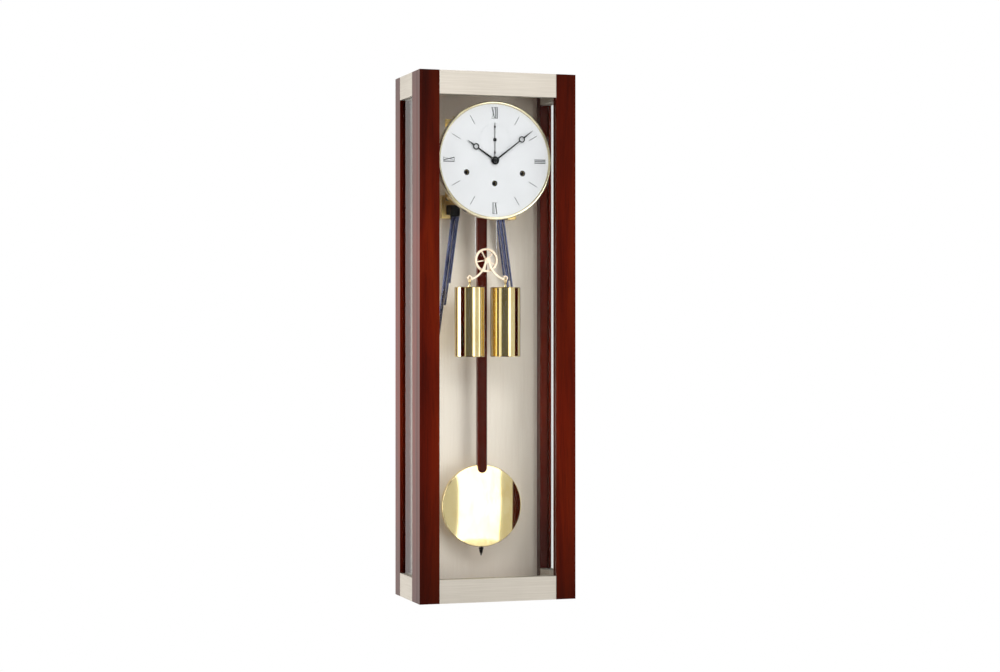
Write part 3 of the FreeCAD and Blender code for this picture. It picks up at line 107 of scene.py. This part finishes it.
def add(made, kind, inputs=None, **settings):
    """A node of a kind, with its settings and input values."""
    step = made.node_tree.nodes.new(kind)
    for key, value in settings.items():
        setattr(step, key, value)
    for key, value in (inputs or {}).items():
        step.inputs[key].default_value = value
    return step


def link(made, source, output, target, socket):
    made.node_tree.links.new(source.outputs[output], target.inputs[socket])


def noise(made, scale, detail=4.0, stretch=(1, 1, 1), rough=0.55, distort=0.0):
    """Noise in the frame's own coordinates, stretched along an axis."""
    place = add(made, "ShaderNodeTexCoord")
    mapping = add(made, "ShaderNodeMapping", {"Scale": stretch})
    texture = add(made, "ShaderNodeTexNoise",
                  {"Scale": scale, "Detail": detail, "Roughness": rough, "Distortion": distort})
    link(made, place, "Object", mapping, "Vector")
    link(made, mapping, "Vector", texture, "Vector")
    return texture


def ramp(made, source, output, stops):
    """A colour ramp through (position, colour) stops."""
    step = add(made, "ShaderNodeValToRGB")
    elements = step.color_ramp.elements
    while len(elements) < len(stops):
        elements.new(0.5)
    for element, (position, colour) in zip(elements, stops):
        element.position = position
        element.color = colour
    link(made, source, output, step, "Fac")
    return step


def spread(made, source, output, low, high):
    """A value from 0 to 1 spread over a range."""
    step = add(made, "ShaderNodeMapRange", {"To Min": low, "To Max": high})
    link(made, source, output, step, "Value")
    return step


def add_bump(made, shader, source, output, depth, strength=1.0):
    bump = add(made, "ShaderNodeBump", {"Strength": strength, "Distance": depth})
    link(made, source, output, bump, "Height")
    link(made, bump, "Normal", shader, "Normal")


# ---------------------------------------------------------------- materials

# Painted shade on the wood: share of its colour that is left, from the foot (0) to the top (1) of
# the case.
PAINTED_SHADE_BY_HEIGHT = (
    (0.0, grey(0.42)),
    (0.14, grey(0.75)),
    (0.34, grey(1)),
    (0.66, grey(1)),
    (0.86, grey(0.66)),
    (1.0, grey(0.40)),
)

# Heights of the relief that is left to bump.
FINE_RELIEF = 0.02 * MM
PORE_RELIEF = 0.04 * MM
OPEN_GRAIN_RELIEF = 0.1 * MM

# How glossy the lacquer is, from seen straight on (0) to seen edge on (1).
LACQUER = ((0.0, grey(0.05)), (0.45, grey(0.09)), (0.7, grey(0.42)), (1.0, grey(0.5)))


def multiply(made, first, first_output, second, second_output, share=1.0):
    """One colour darkened by another."""
    blend = add(made, "ShaderNodeMix", data_type="RGBA", blend_type="MULTIPLY")
    blend.inputs["Factor"].default_value = share
    link(made, first, first_output, blend, MIX_FIRST)
    link(made, second, second_output, blend, MIX_SECOND)
    return blend


def painted_shade_by_height(made):
    """Painted shade that darkens the wood towards the foot and the top of the case."""
    place = add(made, "ShaderNodeTexCoord")
    split = add(made, "ShaderNodeSeparateXYZ")
    link(made, place, "Object", split, "Vector")
    height = add(made, "ShaderNodeMapRange", {"From Min": CAD_BOX[0].z, "From Max": CAD_BOX[1].z})
    link(made, split, "Z", height, "Value")
    return ramp(made, height, "Result", PAINTED_SHADE_BY_HEIGHT)


def mahogany(name, dark, mid, light, rough):
    """Stained mahogany under satin lacquer: long vertical grain, short pores and painted shade
    towards the foot and the top of the case.
    """
    made, shader = new_material(name, Specular_Tint=(1.0, 0.55, 0.42, 1))
    figure = noise(made, 26, 6, stretch=(1, 1, 0.07), distort=1.4)
    colours = ramp(made, figure, "Fac", [(0.30, dark), (0.5, mid), (0.72, light)])
    pores = noise(made, 700, 3, stretch=(1, 1, 0.035), rough=0.7)
    pore_shade = ramp(made, pores, "Fac", [(0.36, grey(0.62)), (0.50, grey(1))])
    drift = noise(made, 3.4, 2, stretch=(1, 1, 0.8))
    drift_shade = ramp(made, drift, "Fac", [(0.36, grey(0.66)), (0.62, grey(1))])
    grained = multiply(made, colours, "Color", pore_shade, "Color", 0.7)
    drifted = multiply(made, grained, MIX_RESULT, drift_shade, "Color")
    # Painted shade: the wood is darker towards the foot and the top of the case.
    shade_painted = multiply(made, drifted, MIX_RESULT, painted_shade_by_height(made), "Color")
    link(made, shade_painted, MIX_RESULT, shader, "Base Color")
    slant = add(made, "ShaderNodeLayerWeight", {"Blend": 0.5})
    gloss = ramp(made, slant, "Facing", LACQUER)
    link(made, gloss, "Color", shader, "Specular IOR Level")
    link(made, spread(made, figure, "Fac", *rough), "Result", shader, "Roughness")
    add_bump(made, shader, pores, "Fac", PORE_RELIEF, 0.4)
    return made


def board(name, dark, light):
    """Plain stained board with open grain and no lacquer."""
    made, shader = new_material(name, Specular_IOR_Level=0.3)
    figure = noise(made, 22, 6, stretch=(1, 1, 0.09), distort=1.0)
    tone = ramp(made, figure, "Fac", [(0.3, dark), (0.7, light)])
    link(made, tone, "Color", shader, "Base Color")
    link(made, spread(made, figure, "Fac", 0.5, 0.7), "Result", shader, "Roughness")
    fine = noise(made, 900, 2, stretch=(1, 1, 0.05))
    add_bump(made, shader, fine, "Fac", OPEN_GRAIN_RELIEF, 0.5)
    return made


def brushed(name, colour, darker, stretch, rough, metal=1.0):
    """Brushed metal: fine scratches that run along the axis with the small stretch."""
    made, shader = new_material(name, Metallic=metal)
    lines = noise(made, 900, 3, stretch=stretch, rough=0.7)
    broad = noise(made, 9, 2, stretch=(1, 1, 0.5))
    tone = ramp(made, lines, "Fac", [(0.30, darker), (0.62, colour)])
    cloud = ramp(made, broad, "Fac", [(0.3, grey(0.93)), (0.7, grey(1))])
    clouded = multiply(made, tone, "Color", cloud, "Color")
    link(made, clouded, MIX_RESULT, shader, "Base Color")
    link(made, spread(made, lines, "Fac", *rough), "Result", shader, "Roughness")
    add_bump(made, shader, lines, "Fac", FINE_RELIEF, 0.4)
    return made


def polished(name, colour, tarnish, rough, scale=40):
    """Polished metal with faint wipe marks and a trace of tarnish."""
    made, shader = new_material(name, Metallic=1.0)
    cloud = noise(made, scale, 5, stretch=(1, 1, 0.4))
    tone = ramp(made, cloud, "Fac", [(0.30, tarnish), (0.55, colour)])
    link(made, tone, "Color", shader, "Base Color")
    wipe = noise(made, scale * 12, 3, stretch=(1, 1, 0.15))
    link(made, spread(made, wipe, "Fac", *rough), "Result", shader, "Roughness")
    return made


def painted(name, colour, second, rough, scale=60, metal=0.0, shine=0.5):
    """Painted or blackened surface, with a slight mottle."""
    made, shader = new_material(name, Metallic=metal, Specular_IOR_Level=shine)
    cloud = noise(made, scale, 4)
    tone = ramp(made, cloud, "Fac", [(0.35, second), (0.65, colour)])
    link(made, tone, "Color", shader, "Base Color")
    link(made, spread(made, cloud, "Fac", *rough), "Result", shader, "Roughness")
    fine = noise(made, scale * 30, 2)
    add_bump(made, shader, fine, "Fac", FINE_RELIEF, 0.3)
    return made


def clear_pane(name, facing_share, slanted_share):
    """A thin pane: it lets light straight through and mirrors more at a slant."""
    made, shader = new_material(name)
    made.node_tree.nodes.remove(shader)
    finish = made.node_tree.nodes["Material Output"]
    through = add(made, "ShaderNodeBsdfTransparent", {"Color": (0.985, 0.995, 0.99, 1)})
    mirror = add(made, "ShaderNodeBsdfGlossy", {"Roughness": 0.01})
    slant = add(made, "ShaderNodeLayerWeight", {"Blend": 0.5})
    share = ramp(made, slant, "Facing", [(0.0, grey(facing_share)), (0.5, grey(facing_share * 1.6)),
                                         (0.7, grey(slanted_share)), (1.0, grey(0.9))])
    mix = add(made, "ShaderNodeMixShader")
    link(made, share, "Color", mix, 0)
    link(made, through, "BSDF", mix, 1)
    link(made, mirror, "BSDF", mix, 2)
    link(made, mix, "Shader", finish, "Surface")
    return made


def make_materials():
    """One material for each slot of the record, by name."""
    return {
        "mahogany": mahogany("mahogany", tint(64, 11, 5), tint(93, 24, 8), tint(110, 34, 11),
                             (0.26, 0.36)),
        "plain_wood": board("plain_wood", tint(74, 44, 27), tint(118, 78, 50)),
        "brushed_metal": brushed("brushed_metal", tint(200, 194, 184), tint(184, 177, 166),
                                 (0.01, 0.02, 1), (0.50, 0.62)),
        "brushed_panel": brushed("brushed_panel", tint(254, 243, 230), tint(246, 233, 219),
                                 (1, 1, 0.012), (0.40, 0.55), metal=0.2),
        "glass": clear_pane("glass", 0.002, 0.13),
        "dark_steel": painted("dark_steel", tint(34, 31, 30), tint(22, 20, 20), (0.3, 0.45),
                              metal=0.8),
        "hinge_brass": polished("hinge_brass", tint(196, 164, 100), tint(168, 132, 70),
                                (0.25, 0.38)),
        "movement_brass": brushed("movement_brass", tint(226, 198, 134), tint(196, 164, 96),
                                  (1, 1, 0.02), (0.22, 0.36)),
        "silvered_dial": painted("silvered_dial", tint(224, 223, 228), tint(219, 218, 223),
                                 (0.4, 0.5), scale=30),
        "pale_gold": polished("pale_gold", tint(232, 220, 190), tint(212, 198, 164), (0.16, 0.26)),
        "black_hands": painted("black_hands", tint(16, 16, 19), tint(10, 10, 12), (0.3, 0.4),
                               shine=0.15),
        "bright_steel": polished("bright_steel", tint(214, 214, 216), tint(190, 188, 186),
                                 (0.15, 0.26)),
        "polished_brass": polished("polished_brass", tint(242, 220, 164), tint(231, 204, 142),
                                   (0.035, 0.08)),
        "pale_brass": polished("pale_brass", tint(246, 224, 202), tint(226, 200, 174), (0.42, 0.5)),
        "blued_steel": polished("blued_steel", tint(104, 108, 140), tint(62, 66, 98), (0.12, 0.2),
                                scale=90),
    }


def dress_nodes(materials):
    """Give every CAD node the material of its slot."""
    for part in frame["record"]["subparts"]:
        thing = NODES[part["node"]]
        thing.data.materials.clear()
        thing.data.materials.append(materials[part["material_slot"]])


# ---------------------------------------------------------------- mesh building

def piece_from(name, bm, material, body=None):
    """Finish a bmesh as a piece, which rides on a body if one is given."""
    mesh = bpy.data.meshes.new(name)
    bmesh.ops.recalc_face_normals(bm, faces=bm.faces)
    bm.to_mesh(mesh)
    bm.free()
    mesh.materials.append(material)
    piece = bpy.data.objects.new(name, mesh)
    bpy.context.scene.collection.objects.link(piece)
    if body:
        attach(piece, body)
    return piece


def slab(bm, outline, front, back):
    """Extrude an outline of (x, z) points between two depths."""
    fronts = [bm.verts.new((x, front, z)) for x, z in outline]
    backs = [bm.verts.new((x, back, z)) for x, z in outline]
    bm.faces.new(fronts)
    bm.faces.new(backs[::-1])
    count = len(outline)
    for i in range(count):
        j = (i + 1) % count
        bm.faces.new((fronts[i], backs[i], backs[j], fronts[j]))


# ---------------------------------------------------------------- dial markings

DIAL_LOW, DIAL_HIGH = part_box("dial_bezel")
DIAL_AT = Vector((0, 0, (DIAL_LOW.z + DIAL_HIGH.z) / 2))
DIAL_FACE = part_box("dial_plate")[0].y
INK = 0.12 * MM
NUMERAL_INNER = 72 * MM
NUMERAL_OUTER = 91 * MM
THICK_STROKE = 1.7 * MM
THIN_STROKE = 0.65 * MM
SERIF = 0.6 * MM
HOUR_INNER = 71 * MM
HOUR_OUTER = 87.5 * MM
HOUR_WIDE = 1.0 * MM
SECOND_OUTER = 28.6 * MM

# Inner end and width of a mark on the seconds ring.
ONE_SECOND = (26.6 * MM, 0.3 * MM)
FIFTH_SECOND = (24.6 * MM, 0.5 * MM)

NUMERALS = {0: "XII", 3: "III", 6: "VI", 9: "IX"}

# Room that a letter takes across.
LETTER_WIDE = {"I": 2.7 * MM, "V": 6.2 * MM, "X": 6.2 * MM}


def clock_spot(hour, across, out):
    """A point on the dial, from its distance across and outwards at an hour."""
    angle = math.radians(30 * hour)
    x = out * math.sin(angle) + across * math.cos(angle)
    z = out * math.cos(angle) - across * math.sin(angle)
    return x + DIAL_AT.x, z + DIAL_AT.z


def stroke(bm, hour, start, end, wide):
    """A straight stroke of ink between two (across, out) points."""
    (x0, y0), (x1, y1) = start, end
    length = math.hypot(x1 - x0, y1 - y0)
    side = ((y0 - y1) / length * wide / 2, (x1 - x0) / length * wide / 2)
    corners = [
        (x0 + side[0], y0 + side[1]),
        (x0 - side[0], y0 - side[1]),
        (x1 - side[0], y1 - side[1]),
        (x1 + side[0], y1 + side[1]),
    ]
    outline = [clock_spot(hour, *corner) for corner in corners]
    slab(bm, outline, DIAL_FACE - INK, DIAL_FACE + INK)


def draw_letter(bm, hour, letter, at):
    low = NUMERAL_INNER + SERIF / 2
    high = NUMERAL_OUTER - SERIF / 2
    reach = LETTER_WIDE[letter] / 2 - THICK_STROKE / 2
    if letter == "I":
        stroke(bm, hour, (at, low), (at, high), THICK_STROKE)
    elif letter == "V":
        stroke(bm, hour, (at - reach, high), (at, low), THICK_STROKE)
        stroke(bm, hour, (at + reach, high), (at, low), THIN_STROKE)
    else:
        stroke(bm, hour, (at - reach, high), (at + reach, low), THICK_STROKE)
        stroke(bm, hour, (at + reach, high), (at - reach, low), THIN_STROKE)


def draw_numeral(bm, hour, text):
    """A Roman numeral with its foot towards the dial's centre."""
    total = sum(LETTER_WIDE[letter] for letter in text)
    at = -total / 2
    for letter in text:
        draw_letter(bm, hour, letter, at + LETTER_WIDE[letter] / 2)
        at += LETTER_WIDE[letter]
    for out in (NUMERAL_INNER, NUMERAL_OUTER):
        stroke(bm, hour, (-total / 2, out), (total / 2, out), SERIF)


def make_hour_markings():
    """Numerals at the quarters, and strokes at the other hours."""
    ink = painted("dial_ink", tint(84, 86, 90), tint(70, 72, 76), (0.4, 0.5))
    bm = bmesh.new()
    for hour in range(12):
        if hour in NUMERALS:
            draw_numeral(bm, hour, NUMERALS[hour])
        else:
            stroke(bm, hour, (0, HOUR_INNER), (0, HOUR_OUTER), HOUR_WIDE)
    piece_from("hour_markings", bm, ink, "case")


def make_seconds_markings():
    """The faint marks of the seconds ring, longer at each fifth second."""
    faint = painted("faint_ink", tint(168, 170, 176), tint(158, 160, 166), (0.4, 0.5))
    bm = bmesh.new()
    centre = middle("seconds_hand")
    for second in range(60):
        angle = 2 * math.pi * second / 60
        across = Vector((math.cos(angle), 0, -math.sin(angle)))
        outward = Vector((math.sin(angle), 0, math.cos(angle)))
        inner, wide = FIFTH_SECOND if second % 5 == 0 else ONE_SECOND
        corners = [
            centre + outward * SECOND_OUTER + across * wide / 2,
            centre + outward * SECOND_OUTER - across * wide / 2,
            centre + outward * inner - across * wide / 2,
            centre + outward * inner + across * wide / 2,
        ]
        slab(bm, [(corner.x, corner.z) for corner in corners], DIAL_FACE - INK, DIAL_FACE + INK)
    piece_from("seconds_markings", bm, faint, "case")


# ---------------------------------------------------------------- winding squares

WINDING = {"drum": "cable_drum", "strike": "strike_barrel", "chime": "chime_barrel"}
DIAL_THICK = 1.5 * MM
DIAL_BACK = DIAL_FACE + DIAL_THICK
SQUARE_SIDE = 5 * MM
SQUARE_CORNERS = ((-1, -1), (1, -1), (1, 1), (-1, 1))
SQUARE_SHOWN = 5 * MM
CAP_SKIN = 0.3 * MM
CAP_BEVEL = 0.25 * MM
# Black ring behind each winding hole, which stands in for the shade inside the hole.
SHADE_RING_GAP = 0.06 * MM
SHADE_RING_INNER = 4.0 * MM
SHADE_RING_OUTER = 6.0 * MM
SHADE_RING_THICK = 0.6 * MM


def bevel_all(bm, width):
    bmesh.ops.bevel(bm, geom=bm.edges[:], offset=width, segments=2, affect="EDGES", profile=0.5)


def make_winding_squares(materials):
    """Steel ends of the three winding arbors, each in a black ring behind the dial that stands in
    for the shade in the winding hole.
    """
    shade_rings = bmesh.new()
    for body, node in WINDING.items():
        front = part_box(node)[0].y
        axis = middle(node)
        half = SQUARE_SIDE / 2 + CAP_SKIN
        corners = [(axis.x + x * half, axis.z + z * half) for x, z in SQUARE_CORNERS]
        bm = bmesh.new()
        slab(bm, corners, front - CAP_SKIN, front + SQUARE_SHOWN)
        bevel_all(bm, CAP_BEVEL)
        piece_from(f"winding_square_{body}", bm, materials["dark_steel"], body)
        add_shade_ring(shade_rings, axis)
    # Black rings that paint the shade inside the winding holes.
    piece_from("winding_shade_rings", shade_rings, materials["black_hands"], "case")


def add_shade_ring(bm, axis, count=48):
    """A flat black ring round an arbor, against the back of the dial: painted shade that darkens
    the winding hole.
    """
    front = DIAL_BACK + SHADE_RING_GAP
    back = front + SHADE_RING_THICK
    section = (
        (SHADE_RING_INNER, front),
        (SHADE_RING_OUTER, front),
        (SHADE_RING_OUTER, back),
        (SHADE_RING_INNER, back),
    )
    rings = []
    for i in range(count):
        angle = 2 * math.pi * i / count
        across = math.sin(angle)
        up = math.cos(angle)
        rings.append([bm.verts.new((axis.x + r * across, y, axis.z + r * up)) for r, y in section])
    for i in range(count):
        first, second = rings[i], rings[(i + 1) % count]
        for k in range(len(section)):
            j = (k + 1) % len(section)
            bm.faces.new((first[k], first[j], second[j], second[k]))


# ---------------------------------------------------------------- silent lever

LEVER_WIDE = 3.2 * MM
LEVER_SHOWN = 3.0 * MM
LEVER_UNDER = 9.0 * MM
LEVER_THICK = 1.2 * MM
LEVER_LOW = 8 * MM
LEVER_BEHIND = 1 * MM
LEVER_BEVEL = 0.15 * MM
TIP_ANGLES = (-75, -50, -25, 0, 25, 50, 75)


def make_silent_lever(materials):
    """The tip of the lever that silences the chime, past the dial's right edge."""
    edge = DIAL_HIGH.x
    z = DIAL_AT.z - LEVER_LOW
    half = LEVER_WIDE / 2
    round_at = edge + LEVER_SHOWN - half
    outline = [(edge - LEVER_UNDER, z - half), (round_at, z - half)]
    for angle in map(math.radians, TIP_ANGLES):
        outline.append((round_at + half * math.cos(angle), z + half * math.sin(angle)))
    outline += [(round_at, z + half), (edge - LEVER_UNDER, z + half)]
    bm = bmesh.new()
    front = DIAL_HIGH.y + LEVER_BEHIND
    slab(bm, outline, front, front + LEVER_THICK)
    bevel_all(bm, LEVER_BEVEL)
    piece_from("silent_lever", bm, materials["dark_steel"], "case")


# ---------------------------------------------------------------- cable

CABLE_RADIUS = 0.6 * MM
CABLE_SIDES = 10
CABLE_RUNS = 24
CABLE_TURNS = 32

# Height of the stud that holds the cable's still end.
CABLE_STUD = -0.1673


def make_cable(materials):
    """Steel cable from the drum, round the pulley and up to its stud."""
    low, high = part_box("cable")
    reach = high.x - CABLE_RADIUS
    axle = middle("pulley").z
    depth = (low.y + high.y) / 2
    angles = [math.pi * i / CABLE_TURNS for i in range(CABLE_TURNS + 1)]
    path = [(reach, high.z + (axle - high.z) * i / CABLE_RUNS) for i in range(CABLE_RUNS)]
    path += [(reach * math.cos(a), axle - reach * math.sin(a)) for a in angles]
    path += [(-reach, axle + (CABLE_STUD - axle) * (i + 1) / CABLE_RUNS) for i in range(CABLE_RUNS)]
    bm = bmesh.new()
    rings = []
    for i, (x, z) in enumerate(path):
        ahead = path[min(i + 1, len(path) - 1)]
        behind = path[max(i - 1, 0)]
        along = Vector((ahead[0] - behind[0], 0, ahead[1] - behind[1])).normalized()
        side = along.cross(Vector((0, 1, 0)))
        ring = []
        for k in range(CABLE_SIDES):
            angle = 2 * math.pi * k / CABLE_SIDES
            offset = side * math.cos(angle) + Vector((0, 1, 0)) * math.sin(angle)
            ring.append(bm.verts.new(Vector((x, depth, z)) + offset * CABLE_RADIUS))
        rings.append(ring)
    for first, second in zip(rings, rings[1:]):
        for k in range(CABLE_SIDES):
            j = (k + 1) % CABLE_SIDES
            bm.faces.new((first[k], first[j], second[j], second[k]))
    bm.faces.new(rings[0])
    bm.faces.new(rings[-1][::-1])
    piece = piece_from("weight_cable", bm, materials["bright_steel"])
    for face in piece.data.polygons:
        face.use_smooth = True
    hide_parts("cable")
    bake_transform(piece)


# ---------------------------------------------------------------- camera, light, floor

FRONT = CAD_BOX[0].y
MID_HEIGHT = (CAD_BOX[0].z + CAD_BOX[1].z) / 2
CAMERA_AT = Vector((-1.113, FRONT - 3.485, MID_HEIGHT + 0.0013))
CAMERA_TURN = math.radians(17.75)

# Brightness of the room from left (0) to right (1), in front of the clock and behind it.
ROOM_FRONT = ((0.0, 1.2), (0.09, 1.2), (0.16, 0.12), (0.50, 0.14), (0.53, 0.66), (1.0, 0.75))
ROOM_BEHIND = ((0.0, 1.0), (0.40, 1.0), (0.58, 0.5), (1.0, 0.5))


# How far the direction's y goes while the room changes from front to behind.
ROOM_TURN = (-0.1, 0.35)

FLOOR_RADIUS = 3.0
FLOOR_DROP = 0.7


def make_camera():
    data = bpy.data.cameras.new("camera")
    data.lens = 77.54
    data.sensor_width = 36
    camera = bpy.data.objects.new("camera", data)
    bpy.context.scene.collection.objects.link(camera)
    camera.location = CAMERA_AT
    camera.rotation_euler = (math.radians(90), 0, -CAMERA_TURN)
    bpy.context.scene.camera = camera


def softbox(name, at, aim, wide, tall, glow):
    """A rectangular studio light that faces a point. Its glow is in watts per steradian and m2."""
    data = bpy.data.lights.new(name, "AREA")
    data.shape = "RECTANGLE"
    data.size = wide
    data.size_y = tall
    data.energy = glow * math.pi * wide * tall
    light = bpy.data.objects.new(name, data)
    bpy.context.scene.collection.objects.link(light)
    light.location = at
    light.rotation_euler = (Vector(aim) - Vector(at)).to_track_quat("-Z", "Y").to_euler()


def warm_white(level):
    return (level, level * 0.985, level * 0.96, 1)


def room_light(world):
    """The room as light and reflections meet it, by direction."""
    toward = add(world, "ShaderNodeTexCoord")
    split = add(world, "ShaderNodeSeparateXYZ")
    link(world, toward, "Generated", split, "Vector")
    across = add(world, "ShaderNodeMapRange", {"From Min": -1.0})
    link(world, split, "X", across, "Value")
    back = add(world, "ShaderNodeMapRange", {"From Min": ROOM_TURN[0], "From Max": ROOM_TURN[1]})
    link(world, split, "Y", back, "Value")
    front, behind = (
        ramp(world, across, "Result", [(at, warm_white(level)) for at, level in stops])
        for stops in (ROOM_FRONT, ROOM_BEHIND)
    )
    blend = add(world, "ShaderNodeMix", data_type="RGBA")
    link(world, back, "Result", blend, "Factor")
    link(world, front, "Color", blend, MIX_FIRST)
    link(world, behind, "Color", blend, MIX_SECOND)
    room = add(world, "ShaderNodeBackground")
    link(world, blend, MIX_RESULT, room, "Color")
    return room


def make_world():
    """Pure white where the room is seen directly, and its own light for everything else."""
    world = bpy.data.worlds.new("studio")
    world.use_nodes = True
    bpy.context.scene.world = world
    world.node_tree.nodes.clear()
    room = room_light(world)
    seen = add(world, "ShaderNodeBackground", {"Color": grey(1)})
    path = add(world, "ShaderNodeLightPath")
    mix = add(world, "ShaderNodeMixShader")
    out = add(world, "ShaderNodeOutputWorld")
    link(world, path, "Is Camera Ray", mix, 0)
    link(world, room, "Background", mix, 1)
    link(world, seen, "Background", mix, 2)
    link(world, mix, "Shader", out, "Surface")


def make_floor():
    bm = bmesh.new()
    bmesh.ops.create_circle(bm, cap_ends=True, radius=FLOOR_RADIUS, segments=96)
    mesh = bpy.data.meshes.new("floor")
    bm.to_mesh(mesh)
    bm.free()
    floor = bpy.data.objects.new("floor", mesh)
    bpy.context.scene.collection.objects.link(floor)
    floor.location = (0, 0, CAD_BOX[0].z - FLOOR_DROP)
    made, shader = new_material("floor_paper", Roughness=0.9)
    stops = [(0.3, (0.84, 0.84, 0.83, 1)), (0.7, (0.88, 0.88, 0.87, 1))]
    shade = ramp(made, noise(made, 3, 2), "Fac", stops)
    link(made, shade, "Color", shader, "Base Color")
    mesh.materials.append(made)


def make_studio():
    centre = (0, FRONT, MID_HEIGHT)
    softbox("front_right", (0.88, FRONT - 2.95, MID_HEIGHT + 0.1), centre, 0.90, 3.0, 2.2)
    softbox("front_high", (-0.3, FRONT - 2.4, MID_HEIGHT + 1.35), centre, 1.4, 0.9, 6.2)
    softbox("left_side", (-2.6, 0.3, MID_HEIGHT + 0.2), centre, 1.0, 2.4, 7.0)
    softbox("right_side", (2.4, FRONT - 0.9, MID_HEIGHT + 0.3), centre, 0.9, 2.4, 1.6)
    softbox("top", (0.2, FRONT - 1.4, MID_HEIGHT + 2.4), centre, 2.0, 1.2, 1.5)
    make_world()
    make_floor()
    make_camera()
    bpy.context.scene.view_settings.view_transform = "Standard"


def main():
    materials = make_materials()
    dress_nodes(materials)
    make_hour_markings()
    make_seconds_markings()
    make_winding_squares(materials)
    make_silent_lever(materials)
    make_cable(materials)
    make_studio()


main()
